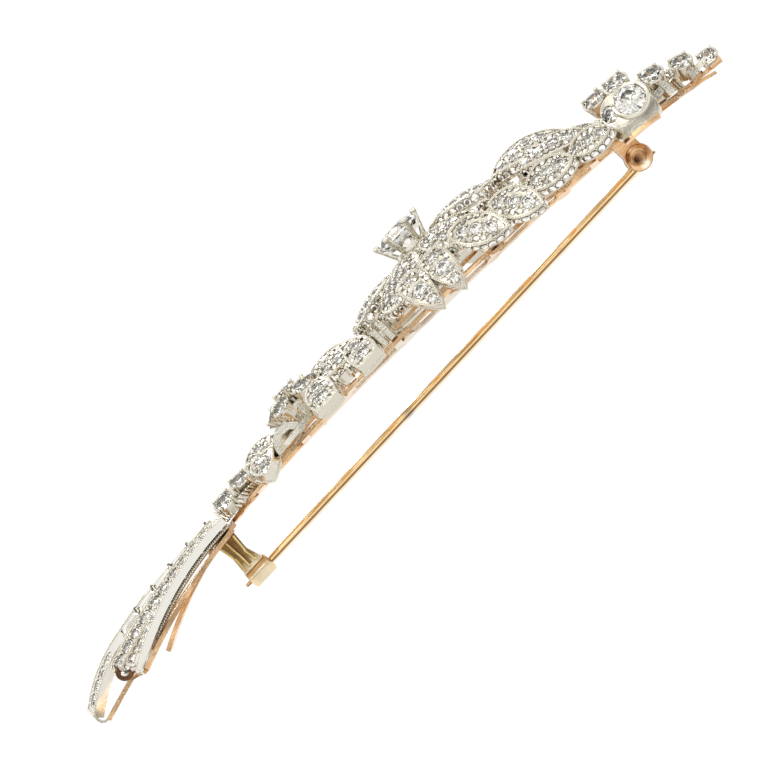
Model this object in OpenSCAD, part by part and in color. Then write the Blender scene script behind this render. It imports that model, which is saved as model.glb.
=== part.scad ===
// Flower spray brooch: set petals, leaves and stems in white metal over a rose gold back, with a hinged pin.
// +X runs from the stems to the bud tip, +Z is the front, and z = 0 is the plane that the brooch lies on.

/* [Back] */
// Radius of the back's bow along the spray
bow_r = 140; // [135:5:150]
// Radius of the back's crown across the spray
crown_r = 40; // [36:1:48]
// Height of the back's front face where the bow is highest
back_z = 6.6; // [6.5:0.02:6.68]
// Thickness of the gold back
back_t = 0.3; // [0.3:0.05:0.45]
// Width of the two edge rails
rail_w = 0.6; // [0.6:0.1:1.2]

/* [Petals and leaves] */
// Height of a petal's side wall
wall_h = 0.95; // [0.85:0.05:1.1]
// Width of the raised rim round a stone field
rim_w = 0.26; // [0.2:0.02:0.32]
// Depth of the stone field below the rim
field_h = 0.12; // [0.08:0.02:0.16]
// Radius of a centre petal's dome
petal_dome_r = 8; // [7:0.5:10]
// Radius of a leaf's dome
leaf_dome_r = 7; // [6:0.5:9]

/* [Stones] */
// Girdle diameter of a small stone
small_d = 1.06; // [1.0:0.02:1.08]
// Spacing of the small stones
small_pitch = 1.2; // [1.2:0.02:1.4]
// Smallest stone of a leaf's middle row
row_d_min = 0.75; // [0.7:0.05:1.0]
// Room between a stone and its seat
seat_gap = 0.035; // [0.02:0.005:0.06]
// Girdle diameter of the centre stone
centre_d = 4.2; // [3.8:0.1:4.3]

/* [Pin] */
// Diameter of the pin stem
pin_d = 0.8; // [0.7:0.05:0.85]
// Radius of the hinge cheeks
hinge_r = 1.2; // [1.15:0.05:1.25]
// Outer radius of the catch barrel
catch_r = 0.92; // [0.9:0.02:1.0]
// Inner radius of the catch barrel
catch_bore_r = 0.55; // [0.5:0.01:0.58]

/* [Hidden] */
$fn = 48;

platinum = [0.83, 0.84, 0.84];
rose_gold = [0.86, 0.62, 0.42];
diamond = [0.93, 0.95, 0.98];

// Middle of the bow along X, and of the rails across Y
bow_x = -1;
rails_y = 1.7;
rails_x0 = -22;
rails_x1 = 36.6;
rails_w = 19.6;
// Line of the pin stem across the spray
pin_y = 0.9;
hinge_x = 26.8;
hinge_z = hinge_r;
cheek_y = 0.72;
cheek_t = 0.95;
rivet_r = 0.36;
catch_x0 = -21.15;
catch_x1 = -18.75;
catch_mouth = 0.86;
// The catch stands on the two lips of its mouth
catch_z = sqrt(catch_r * catch_r - catch_mouth * catch_mouth / 4);

// Front face of the gold back
function back_top(x, y) =
    let (ring = bow_r - crown_r + sqrt(crown_r * crown_r - y * y), dx = x - bow_x)
    back_z - bow_r + sqrt(ring * ring - dx * dx);

// Lowest height at which a flat foot of radius r clears the back's front face
function foot_z(x, y, r) =
    back_top(x, y) + 0.04 + r * (abs(x - bow_x) / bow_r + abs(y) / crown_r);

// An outline is a list of circles, [x, y, radius], and holds what lies inside them all
function almond(l, w) =
    let (r = (l * l + w * w) / (4 * w))
    [[0, r - w / 2, r], [0, w / 2 - r, r]];
function petal(l, w) =
    let (long = 1.36 * l,
         r = (long * long + w * w) / (4 * w),
         x = (long - l) / 2,
         tip = max(0.56 * w, 0.52 * l))
    [[x, r - w / 2, r], [x, w / 2 - r, r], [l / 2 - tip, 0, tip]];
function outline_of(kind, l, w) = kind == "petal" ? petal(l, w) : almond(l, w);
// Distance from a point to the outline's nearest edge
function margin(outline, x, y) = min([for (c = outline) c[2] - norm([x - c[0], y - c[1]])]);

// Stones of a petal, [x, y, diameter]: staggered rows, even about its middle line
row_rise = 0.87;
row_start = 0.15;
rim_bite = 0.04;
function petal_field(outline, l, w) =
    [for (j = [-4:4], i = [-8:8])
        let (x = (i + (j % 2 == 0 ? 0 : 0.5)) * small_pitch + row_start,
             y = j * small_pitch * row_rise,
             inside = margin(outline, x, y) > rim_w + small_d / 2 - rim_bite)
        if (abs(x) < l / 2 && abs(y) < w / 2 && inside) [x, y, small_d]];

// Stones of a leaf, [x, y, diameter]: one row along the middle, each as large as the leaf is wide there
row_gap = 0.14;
function row_d(o, big, x) = min(big, 2 * (margin(o, x, 0) - rim_w) + rim_bite);
function row_next(o, big, x, side) =
    let (a = x + side * (row_d(o, big, x) + row_gap),
         b = x + side * ((row_d(o, big, x) + max(row_d_min, row_d(o, big, a))) / 2 + row_gap))
    x + side * ((row_d(o, big, x) + max(row_d_min, row_d(o, big, b))) / 2 + row_gap);
function row_from(o, big, x, side) =
    let (next = row_next(o, big, x, side))
    row_d(o, big, next) < row_d_min ? []
        : concat([[next, 0, row_d(o, big, next)]], row_from(o, big, next, side));
function leaf_field(o, big) =
    concat([[0, 0, row_d(o, big, 0)]], row_from(o, big, 0, 1), row_from(o, big, 0, -1));

module outline_2d(outline, inset) {
    intersection_for (c = outline)
        translate([c[0], c[1]]) circle(r = c[2] - inset);
}

// Moves its children to a point of a dome of radius r whose top is the origin, square to it, sunk by depth
module on_dome(r, x, y, depth) {
    ay = asin(y / r);
    ax = asin(x / (r * cos(ay)));
    translate([0, 0, -r]) rotate([-ay, ax, 0]) translate([0, 0, r - depth]) children();
}

// Turns a face that looks up so that it leans towards azimuth az
module lean_to(az, angle) {
    rotate([0, 0, az]) rotate([0, angle, 0]) rotate([0, 0, -az]) children();
}

// Brilliant cut: an eight-sided table, a sixteen-sided girdle and a pointed culet
function ring_points(n, rx, ry, z, turn) =
    [for (i = [0:n - 1]) [rx * cos(360 / n * i + turn), ry * sin(360 / n * i + turn), z]];

module brilliant(d) {
    r = d / 2;
    points = concat(
        ring_points(8, 0.56 * r, 0.56 * r, 0.15 * d, 0),
        ring_points(16, r, r, 0, 0),
        [[0, 0, -0.43 * d]]);
    polyhedron(points, concat(
        [[for (i = [7:-1:0]) i]],
        [for (i = [0:7]) [i, 9 + 2 * i, 8 + 2 * i]],
        [for (i = [0:7]) [i, (i + 1) % 8, 9 + 2 * i]],
        [for (i = [0:7]) [(i + 1) % 8, 8 + (2 * i + 2) % 16, 9 + 2 * i]],
        [for (i = [0:15]) [8 + i, 8 + (i + 1) % 16, 24]]));
}

// Step cut: a long table and girdle with cut corners, over a keel
function step_ring(l, w, cut, z) =
    [[l / 2 - cut, w / 2, z], [l / 2, w / 2 - cut, z], [l / 2, cut - w / 2, z], [l / 2 - cut, -w / 2, z],
     [cut - l / 2, -w / 2, z], [-l / 2, cut - w / 2, z], [-l / 2, w / 2 - cut, z], [cut - l / 2, w / 2, z]];

module baguette(l, w) {
    rings = concat(
        step_ring(l - 0.5 * w, 0.5 * w, 0.1, 0.16 * w),
        step_ring(l, w, 0.14, 0),
        step_ring(l - 0.7 * w, 0.24 * w, 0.06, -0.32 * w));
    polyhedron(rings, concat(
        [[for (i = [0:7]) i]],
        [for (k = [0, 8], i = [0:7]) [k + i, k + 8 + i, k + 8 + (i + 1) % 8, k + (i + 1) % 8]],
        [[for (i = [7:-1:0]) 16 + i]]));
}

// Open seat for a stone that is held by grains
module seat(d) {
    translate([0, 0, -0.5 * d])
        cylinder(h = 0.9 * d, r1 = 0.12 * d, r2 = 0.12 * d + 0.9 * (0.76 * d + 2 * seat_gap));
}

// Room for a stone under claws that close over its crown
module stone_room(d) {
    r = d / 2 + seat_gap;
    rotate_extrude()
        polygon([[0, -0.6 * d], [0.1 * d, -0.6 * d], [r, -0.02],
                 [r, 0.02], [0.32 * d, 0.19 * d], [0, 0.19 * d]]);
}

// Solid of a petal or leaf: its outline's walls, a domed top, a hollow back and a field sunk inside a rim
module blade(outline, dome_r) {
    difference() {
        intersection() {
            translate([0, 0, -4]) linear_extrude(5) outline_2d(outline, 0);
            translate([0, 0, -dome_r]) difference() {
                sphere(r = dome_r);
                sphere(r = dome_r - wall_h);
            }
        }
        intersection() {
            translate([0, 0, -4]) linear_extrude(5) outline_2d(outline, rim_w);
            translate([0, 0, -dome_r]) difference() {
                sphere(r = dome_r + 1);
                sphere(r = dome_r - field_h);
            }
        }
    }
}

module field_seats(stones, dome_r) {
    for (s = stones)
        on_dome(dome_r, s[0], s[1], field_h + 0.02) seat(s[2]);
}

module field_stones(stones, dome_r) {
    for (s = stones)
        on_dome(dome_r, s[0], s[1], field_h + 0.02) brilliant(s[2]);
}

// Leaves: where the middle of the top lies, which way the tip points, how far and to which side the face
// leans, how far up its slope the post stands, and its largest stone
// x, y, z, tip, lean, side, length, width, up, stone, kind
LX = 0; LY = 1; LZ = 2; TIP = 3; LEAN = 4; SIDE = 5; LEN = 6; WID = 7; UP = 8; BIG = 9; KIND = 10;
leaves = [
    // near side, from the stems to the bud
    [-13.1, -5.0, 7.15, -100, 20, -90, 4.6, 2.7, 1.0, 1.2, "leaf"],
    [-5.6, -6.4, 7.9, -95, 22, -90, 5.4, 2.9, 0.9, 1.3, "petal"],
    [-0.9, -6.6, 7.9, -88, 22, -90, 5.4, 2.8, 0.7, 1.3, "petal"],
    [6.2, -9.25, 7.15, 97, 58, -90, 4.6, 2.6, 1.1, 1.5, "petal"],
    [8.8, -9.3, 7.05, 92, 58, -90, 4.8, 2.7, 1.1, 1.5, "petal"],
    [13.0, -9.4, 7.3, -42, 58, -90, 5.6, 3.1, 1.3, 1.15, "leaf"],
    [16.8, -8.4, 6.5, -52, 55, -90, 5.2, 3.1, 1.1, 1.15, "leaf"],
    [20.5, -7.3, 6.2, -16, 46, -90, 5.0, 3.0, 1.0, 1.15, "leaf"],
    [24.7, -6.65, 5.5, -18, 42, -90, 4.4, 2.7, 1.2, 1.15, "leaf"],
    // upper layer along the middle
    [-2.6, -1.7, 8.5, 178, 24, -90, 5.0, 3.4, 0.3, 1.2, "leaf"],
    [21.3, 0.9, 8.95, -4, 27, -52, 7.9, 4.4, 0.3, 1.25, "leaf"],
    [22.6, -3.5, 7.55, -12, 29, -58, 7.6, 3.6, -0.6, 1.2, "leaf"],
    [23.8, 5.45, 7.2, 12, 22, 40, 8.2, 4.5, -0.4, 1.25, "leaf"],
    [-12.75, 0.4, 8.0, 178, 20, -100, 3.4, 2.8, 0, 1.2, "leaf"],
    [-3.4, 3.2, 9.0, 162, 14, -90, 5.2, 3.4, 0, 1.2, "leaf"],
    // far side
    [-13.4, 5.5, 7.42, 165, 18, 90, 6.2, 3.6, -0.8, 1.2, "leaf"],
    [-9.3, 5.5, 7.9, 115, 14, 90, 4.6, 3.0, 0, 1.2, "leaf"],
    [-4.6, 8.2, 7.8, 140, 18, 90, 7.4, 4.2, -0.9, 1.25, "leaf"],
    [2.8, 10.6, 7.55, 105, 26, 90, 6.2, 4.4, 0, 1.3, "petal"],
    [1.0, 6.9, 7.9, 120, 16, 90, 4.4, 2.6, 0, 1.15, "leaf"],
    [12.7, 11.6, 6.95, 68, 29, 90, 6.4, 4.0, 0.9, 1.25, "leaf"],
    [20.6, 9.7, 6.4, 40, 32, 90, 6.8, 4.2, 0.2, 1.25, "leaf"],
    [16.6, 5.8, 8.1, 42, 18, 60, 4.6, 3.0, -1.6, 1.2, "leaf"],
    [26.6, 8.9, 5.1, 28, 36, 80, 5.6, 3.2, 1.3, 1.2, "leaf"],
    [30.0, 4.6, 5.15, 14, 33, 70, 6.4, 3.8, -0.8, 1.25, "leaf"],
    // small leaves between the others
    [-12.2, -2.5, 7.6, 200, 10, -90, 4.2, 2.2, 0, 1.15, "leaf"],
    [7.8, 11.1, 6.9, 90, 32, 90, 5.0, 3.2, 0.5, 1.2, "leaf"],
    [-17.2, 4.4, 7.05, 172, 14, 90, 4.2, 2.3, 0, 1.1, "leaf"],
    [33.6, 2.9, 4.1, 6, 22, 90, 3.8, 2.3, 0, 1.1, "leaf"],
];
// Leaves that are soldered together
sprays = [[0, 25], [1], [2], [3, 4], [5], [6], [7], [8], [9], [10], [11], [12, 23], [13], [14],
          [27, 15, 16], [17], [19, 18, 26], [20], [21, 22], [24, 28]];
function leaf_outline(q) = outline_of(q[KIND], q[LEN], q[WID]);
function leaf_stones_of(q) = leaf_field(leaf_outline(q), q[BIG]);

// Centre flower: a petal every sixth of a turn
// direction, height of its middle, droop
ANGLE = 0; PZ = 1; DROOP = 2;
flower_x = 8.5;
flower_y = 0.4;
petals = [[0, 10.15, 9], [60, 9.6, 16], [120, 9.6, 16], [180, 9.85, 7], [240, 9.35, 20], [300, 9.35, 20]];
petal_l = 6.6;
petal_w = 5.5;
petal_mid = 5.4;
hub_r = 2.35;
hub_bore_r = 1.1;
hub_z = 9.75;

module to_petal(q) {
    translate([flower_x + petal_mid * cos(q[ANGLE]), flower_y + petal_mid * sin(q[ANGLE]), q[PZ]])
        lean_to(q[ANGLE], q[DROOP]) rotate([0, 0, q[ANGLE]]) children();
}

module to_leaf(q) {
    translate([q[LX], q[LY], q[LZ]]) lean_to(q[SIDE], q[LEAN]) rotate([0, 0, q[TIP]]) children();
}

// A leaf stands on a post that meets the back under it
post_r = 0.42;
pad_r = 0.76;
wire_r = 0.3;
wire_lift = 0.55;
function post_of(q) = [q[LX] - q[UP] * cos(q[SIDE]), q[LY] - q[UP] * sin(q[SIDE])];
function post_foot(q) = let (p = post_of(q)) [p[0], p[1], foot_z(p[0], p[1], post_r)];
// Height of the middle of the blade's wall over its post
function post_top(q) =
    let (sag = pow(q[UP] / cos(q[LEAN]), 2) / (2 * leaf_dome_r))
    q[LZ] + q[UP] * tan(q[LEAN]) - (0.5 * wall_h + sag) / cos(q[LEAN]);

module leaf_body(q) {
    to_leaf(q) blade(leaf_outline(q), leaf_dome_r);
    translate(post_foot(q)) cylinder(h = post_top(q) - post_foot(q)[2], r = post_r);
}

module leaf_spray(group) {
    color(platinum) difference() {
        union() {
            for (i = group)
                leaf_body(leaves[i]);
            for (j = [1:1:len(group) - 1])
                rod(post_foot(leaves[group[j - 1]]) + [0, 0, wire_lift],
                    post_foot(leaves[group[j]]) + [0, 0, wire_lift], wire_r);
        }
        for (i = group)
            to_leaf(leaves[i]) field_seats(leaf_stones_of(leaves[i]), leaf_dome_r);
    }
}

module leaf_stones() {
    color(diamond) for (q = leaves)
        to_leaf(q) field_stones(leaf_stones_of(q), leaf_dome_r);
}

module centre_flower() {
    o = petal(petal_l, petal_w);
    z0 = foot_z(flower_x, flower_y, hub_r);
    color(platinum) difference() {
        union() {
            for (q = petals)
                to_petal(q) blade(o, petal_dome_r);
            translate([flower_x, flower_y, z0]) cylinder(h = hub_z - z0, r = hub_r);
        }
        translate([flower_x, flower_y, z0 - 1]) cylinder(h = hub_z - z0 + 2, r = hub_bore_r);
        for (q = petals)
            to_petal(q) field_seats(petal_field(o, petal_l, petal_w), petal_dome_r);
    }
}

module petal_stones() {
    o = petal(petal_l, petal_w);
    color(diamond) for (q = petals)
        to_petal(q) field_stones(petal_field(o, petal_l, petal_w), petal_dome_r);
}

// Leaning rod between two points
module rod(from, to, r) {
    d = to - from;
    translate(from) rotate([0, acos(d[2] / norm(d)), atan2(d[1], d[0])]) cylinder(h = norm(d), r = r);
}

// Crown of claws round a stone whose girdle is at the origin, standing on a ring at depth
module claw_crown(d, claws, r, depth, turn) {
    difference() {
        union() {
            for (i = [0:claws - 1]) {
                a = 360 / claws * i + turn;
                top_r = d / 2 + 0.45 * r;
                foot_r = 0.52 * d / 2 + r;
                tip = [top_r * cos(a), top_r * sin(a), 0.1 * d];
                rod([foot_r * cos(a), foot_r * sin(a), 0.5 * r - depth], tip, r);
                translate(tip) sphere(r = 1.15 * r);
            }
            translate([0, 0, -depth]) difference() {
                cylinder(h = 1.6 * r, r = 0.52 * d / 2 + 2 * r);
                translate([0, 0, -1]) cylinder(h = 1.6 * r + 2, r = 0.52 * d / 2);
            }
            translate([0, 0, -0.45 * depth]) difference() {
                cylinder(h = 1.3 * r, r = 0.8 * d / 2 + 0.9 * r);
                translate([0, 0, -1]) cylinder(h = 1.3 * r + 2, r = 0.8 * d / 2 - 0.9 * r);
            }
        }
        stone_room(d);
    }
}

centre_z = 11.55;
claw_r = 0.27;
module centre_setting() {
    color(platinum) translate([flower_x, flower_y, centre_z])
        claw_crown(centre_d, 6, claw_r, centre_z - hub_z - 0.04, 0);
}

module centre_diamond() {
    color(diamond) translate([flower_x, flower_y, centre_z]) brilliant(centre_d);
}

// Conical cup for a round stone whose girdle is at the origin, with claws over its crown
module collet(d, depth, claws, turn) {
    difference() {
        union() {
            translate([0, 0, -depth]) cylinder(h = depth + 0.05 * d, r1 = 0.42 * d, r2 = 0.5 * d + 0.16);
            for (i = [0:claws - 1])
                rotate([0, 0, 360 / claws * i + turn]) translate([0.5 * d + 0.06, 0, -0.3 * d])
                    cylinder(h = 0.44 * d, r = 0.15);
        }
        stone_room(d);
        translate([0, 0, -depth - 1]) cylinder(h = depth + 1, r = 0.2 * d);
    }
}

// Small flower: a claw-set stone inside a ring of round cups
small_x = -7.6;
small_y = 0.6;
small_z = 9.55;
cup_z = 8.85;
cup_ring = 2.25;
cup_d = 1.75;
small_centre_d = 2.1;
cup_lean = 34;
cup_h = 1.1;
module at_cup(i) {
    translate([small_x, small_y, cup_z]) rotate([0, 0, 60 * i]) translate([cup_ring, 0, 0])
        rotate([0, cup_lean, 0]) children();
}

small_post_r = 1.1;
plate_h = 0.45;
module small_flower() {
    z0 = foot_z(small_x, small_y, small_post_r);
    color(platinum) difference() {
        union() {
            for (i = [0:5])
                at_cup(i) collet(cup_d, cup_h, 4, 45);
            translate([small_x, small_y, z0]) cylinder(h = cup_z - z0, r = small_post_r);
            translate([small_x, small_y, cup_z - 0.95]) cylinder(h = plate_h, r = cup_ring);
            translate([small_x, small_y, small_z]) collet(small_centre_d, 1.2, 6, 30);
        }
        for (i = [0:5])
            at_cup(i) stone_room(cup_d);
        translate([small_x, small_y, small_z]) stone_room(small_centre_d);
    }
}

module small_flower_stones() {
    color(diamond) for (i = [0:5])
        at_cup(i) brilliant(cup_d);
}

module small_flower_diamond() {
    color(diamond) translate([small_x, small_y, small_z]) brilliant(small_centre_d);
}

// Scroll that stands as an arch on the near side, with a flat curl at its foot
arch_x = -10.1;
arch_y = -4.5;
arch_r = 1.6;
arch_t = 0.6;
arch_w = 2.2;
curl = [4.2, 2.2, 0.45];
module scroll_arch() {
    z0 = foot_z(arch_x, arch_y, 1.3);
    color(platinum) union() {
        translate([arch_x, arch_y, z0]) rotate([90, 0, 0]) intersection() {
            difference() {
                cylinder(h = arch_w, r = arch_r, center = true);
                cylinder(h = arch_w + 1, r = arch_r - arch_t, center = true);
            }
            translate([-3, 0, -2]) cube([6, 3, 4]);
        }
        translate([arch_x + 1.0, arch_y - 1.3, z0 + 0.1]) rotate([0, -4, 0])
            linear_extrude(curl[2]) outline_2d(almond(curl[0], curl[1]), 0);
    }
}

// Two tall collets side by side
pair_x = [0.98, 1.86];
pair_y = -7;
pair_r = 0.4;
pair_z = 7.75;
module collet_pair() {
    mid = (pair_x[0] + pair_x[1]) / 2;
    band_z = foot_z(mid, pair_y, pair_r) + 0.6;
    color(platinum) union() {
        for (x = pair_x)
            translate([x, pair_y, foot_z(x, pair_y, pair_r)])
                cylinder(h = pair_z - foot_z(x, pair_y, pair_r), r = pair_r);
        translate([pair_x[0], pair_y - 0.2, band_z]) cube([pair_x[1] - pair_x[0], 0.4, 0.6]);
    }
}

// Cup between two near leaves, [x, y, girdle height, diameter]
near_spot = [-3.2, -6.7, 7.0, 1.45];
module near_cup() {
    color(platinum) translate([near_spot[0], near_spot[1], near_spot[2]])
        collet(near_spot[3], near_spot[2] - foot_z(near_spot[0], near_spot[1], 0.7), 4, 45);
}

module near_cup_diamond() {
    color(diamond) translate([near_spot[0], near_spot[1], near_spot[2]]) brilliant(near_spot[3]);
}

// Knot: three claw-set stones in cups over a band
// x, y, girdle height, diameter, way that the stone leans, lean
knot_rows = [
    [-17.7, -1.5, 7.0, 1.9, -90, 34],
    [-15.6, -0.3, 7.25, 1.8, -80, 30],
    [-17.4, 1.7, 6.9, 1.8, 90, 12],
];
knot_mid = [-16.9, 0.1];
knot_band_r = 1.9;
knot_cup_h = 0.95;
knot_post_r = 0.55;
module at_knot(k) {
    translate([k[0], k[1], k[2]]) lean_to(k[4], k[5]) children();
}

module knot() {
    color(platinum) difference() {
        union() {
            for (k = knot_rows) {
                z0 = foot_z(k[0], k[1], knot_post_r);
                at_knot(k) collet(k[3], knot_cup_h, 4, 45);
                translate([k[0], k[1], z0]) cylinder(h = k[2] - 0.3 * k[3] - z0, r = knot_post_r);
            }
            translate([knot_mid[0], knot_mid[1], foot_z(knot_mid[0], knot_mid[1], knot_band_r)])
                cylinder(h = 0.5, r = knot_band_r);
        }
        for (k = knot_rows)
            at_knot(k) stone_room(k[3]);
    }
}

module knot_diamond(i) {
    color(diamond) at_knot(knot_rows[i]) brilliant(knot_rows[i][3]);
}

// Bar that follows an arc in the XZ plane, from angle a0 to a1, with its outer face at radius r
module arc_bar(r, a0, a1, h, w) {
    rotate([90, 0, 0]) rotate([0, 0, a0]) rotate_extrude(angle = a1 - a0, $fn = 720)
        translate([r - h, -w / 2]) square([h, w]);
}

// Stems leave the knot towards -X and curve down: a gentle stretch, then a tighter one
// x, y, z of the start, yaw, roll, slope, radius, length, end radius, end length (0: one arc), height, width
SX = 0; SY = 1; SZ = 2; YAW = 3; ROLL = 4; SLOPE = 5; R1 = 6; L1 = 7; R2 = 8; L2 = 9; SH = 10; SW = 11;
stems = [
    [-18.95, 0.2, 6.61, 2, 22, -1.3, 66, 13.55, 13, 6.6, 0.85, 2.0],
    [-19.6, -2.0, 6.45, 9, 30, 2, 52, 14.4, 52, 0, 0.75, 1.7],
    [-18.95, -3.66, 6.4, 14, 8, -1.1, 29.7, 14.76, 29.7, 0, 0.65, 1.5],
    [-19.6, 2.8, 6.28, -16, -18, 3, 34, 13.2, 34, 0, 0.7, 1.8],
];
function arc_deg(r, l) = l / r * 180 / PI;
// A stem's two stretches lap by this angle, so that they are one bar
arc_lap = 0.5;

module to_stem(q) {
    translate([q[SX], q[SY], q[SZ]]) rotate([0, 0, q[YAW]]) rotate([q[ROLL], 0, 0]) children();
}

// Puts its children on the stem's outer face, s along it from the start, looking out
module along_stem(q, s) {
    a0 = 90 + q[SLOPE];
    a1 = a0 + arc_deg(q[R1], q[L1]);
    c1 = [-q[R1] * cos(a0), -q[R1] * sin(a0)];
    c2 = c1 + (q[R1] - q[R2]) * [cos(a1), sin(a1)];
    first = s <= q[L1];
    a = first ? a0 + arc_deg(q[R1], s) : a1 + arc_deg(q[R2], s - q[L1]);
    c = first ? c1 : c2;
    r = first ? q[R1] : q[R2];
    translate([c[0] + r * cos(a), 0, c[1] + r * sin(a)]) rotate([0, 90 - a, 0]) children();
}

module stem_bar(q, h, w, drop) {
    a0 = 90 + q[SLOPE];
    a1 = a0 + arc_deg(q[R1], q[L1]);
    c1 = [-q[R1] * cos(a0), -q[R1] * sin(a0)];
    c2 = c1 + (q[R1] - q[R2]) * [cos(a1), sin(a1)];
    translate([c1[0], 0, c1[1]]) arc_bar(q[R1] - drop, a0, a1, h, w);
    if (q[L2] > 0)
        translate([c2[0], 0, c2[1]]) arc_bar(q[R2] - drop, a1 - arc_lap, a1 + arc_deg(q[R2], q[L2]), h, w);
}

// Gold strips under the stems, in the same columns
strips = [
    [-19.0, 0.2, 5.15, 2, 0, 5, 110, 19, 110, 0, 0.4, 1.5],
    [-19.0, -3.7, 5.15, 14, 0, 3.5, 54.5, 13.9, 54.5, 0, 0.4, 1.3],
    [-19.0, 2.7, 5.2, -16, 0, 5, 34, 12.2, 34, 0, 0.4, 1.4],
];

// Stones along each stem: start, spacing, count, diameter
stem_rows = [[15.2, 1.25, 4, 1.05], [1.2, 1.42, 10, 1.2], [1.0, 1.3, 10, 1.0], [1.0, 1.42, 9, 1.15]];
baguette_l = 2.15;
baguette_w = 1.1;
baguette_pitch = 2.3;
baguette_s = 2.4;
// Round cup that ends the beaded stem
end_cup_s = 14.1;
end_cup_r = 0.9;
end_cup_h = 1.0;
// Thin gallery wire under the near stem, on short posts
gallery_drop = 0.9;
gallery_l = 11.5;
gallery_h = 0.2;
gallery_w = 0.5;
gallery_pitch = 2.6;

module stem(i) {
    q = stems[i];
    k = stem_rows[i];
    color(platinum) difference() {
        union() {
            to_stem(q) stem_bar(q, q[SH], q[SW], 0);
            if (i == 2) {
                wire = [for (c = [0:SW]) c == L1 ? gallery_l : q[c]];
                to_stem(q) stem_bar(wire, gallery_h, gallery_w, gallery_drop);
                for (j = [0:4])
                    to_stem(q) along_stem(q, 0.6 + gallery_pitch * j)
                        translate([0, 0, -gallery_drop - 0.15]) cylinder(h = gallery_drop, r = gallery_h);
            }
            if (i == 1)
                to_stem(q) along_stem(q, end_cup_s)
                    translate([0, 0, -end_cup_h]) cylinder(h = end_cup_h, r = end_cup_r);
        }
        to_stem(q) for (j = [0:k[2] - 1])
            along_stem(q, k[0] + j * k[1]) translate([0, 0, -0.08]) seat(k[3]);
        if (i == 0)
            to_stem(q) for (j = [0:4])
                along_stem(q, baguette_s + j * baguette_pitch)
                    translate([-baguette_l / 2 - seat_gap, -baguette_w / 2 - seat_gap, -0.5])
                        cube([baguette_l + 2 * seat_gap, baguette_w + 2 * seat_gap, 1]);
    }
}

module stem_stones() {
    color(diamond) for (i = [0:3], j = [0:stem_rows[i][2] - 1])
        to_stem(stems[i]) along_stem(stems[i], stem_rows[i][0] + j * stem_rows[i][1])
            translate([0, 0, -0.08]) brilliant(stem_rows[i][3]);
}

module baguette_stone(j) {
    color(diamond) to_stem(stems[0]) along_stem(stems[0], baguette_s + j * baguette_pitch)
        translate([0, 0, -0.1]) baguette(baguette_l, baguette_w);
}

// Polished shield on the near side of the bud, with one large stone and a smaller one beside it
plate = [28.95, -4.9, 4.82, -9, 66, -90];
plate_l = 4.5;
plate_w = 4.0;
plate_t = 0.7;
plate_foot_r = 0.8;
plate_top_r = 1.5;
plate_d = 2.7;
plate_side_d = 1.4;
plate_dome_r = 9;
plate_sink = 0.1;
plate_spot = [0.6, 0.42];
plate_side_spot = [-1.45, 0.55];
// Its post, and the gold pad under it
plate_post = [28.9, -3.0];
plate_post_z = 4.22;
plate_bridge = [2.0, 2.1, 0.7];
bridge_reach = 1.7;
plate_pad = [3.9, 2.6];
pad_shift = 0.3;

module shield_2d() {
    x = plate_l / 2;
    y = plate_w / 2;
    for (side = [-1, 1]) {
        translate([side * (x - plate_foot_r), plate_foot_r - y]) circle(r = plate_foot_r);
        translate([side * (x - plate_top_r), y - plate_top_r]) circle(r = plate_top_r);
    }
    translate([-x, plate_foot_r - y]) square([2 * x, 2 * y - plate_foot_r - plate_top_r]);
    translate([plate_foot_r - x, -y]) square([2 * (x - plate_foot_r), y]);
    translate([plate_top_r - x, 0]) square([2 * (x - plate_top_r), y]);
}

module bud_plate() {
    z0 = foot_z(plate_post[0], plate_post[1], post_r);
    color(platinum) difference() {
        union() {
            to_leaf(plate) intersection() {
                translate([0, 0, -4]) linear_extrude(5) shield_2d();
                translate([0, 0, -plate_dome_r]) difference() {
                    sphere(r = plate_dome_r);
                    sphere(r = plate_dome_r - plate_t);
                }
            }
            translate([plate_post[0], plate_post[1], z0]) cylinder(h = plate_post_z - z0, r = post_r);
            translate([plate_post[0] - plate_bridge[0] / 2, plate_post[1] - bridge_reach,
                       plate_post_z - plate_bridge[2]])
                cube(plate_bridge);
        }
        to_leaf(plate) {
            on_dome(plate_dome_r, plate_spot[0], plate_spot[1], plate_sink) seat(plate_d);
            on_dome(plate_dome_r, plate_side_spot[0], plate_side_spot[1], plate_sink) seat(plate_side_d);
        }
    }
}

module plate_diamond() {
    color(diamond) to_leaf(plate)
        on_dome(plate_dome_r, plate_spot[0], plate_spot[1], plate_sink) brilliant(plate_d);
}

module plate_side_diamond() {
    color(diamond) to_leaf(plate)
        on_dome(plate_dome_r, plate_side_spot[0], plate_side_spot[1], plate_sink) brilliant(plate_side_d);
}

// Bud: cups that step down to the tip and lean to the near side
// x, y, girdle height, diameter, way that the stone leans, lean, depth of the cup
bud_rows = [
    [27.8, 0.6, 7.1, 2.1, -85, 28, 1.3],
    [30.0, -0.4, 6.75, 2.2, -80, 34, 1.3],
    [32.5, -0.4, 5.05, 2.1, -68, 42, 1.5],
    [35.0, 0.1, 4.0, 1.9, -62, 42, 1.4],
    [36.9, 0.1, 2.7, 1.6, -75, 44, 0.9],
];
bud_bands = [[28.9, 0.1, 0.4], [31.2, -0.3, 0.2]];
bud_band_r = 1.3;
tip_band = [35.95, 0.3];
tip_band_r = 0.9;
bud_foot_r = 0.6;
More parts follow.
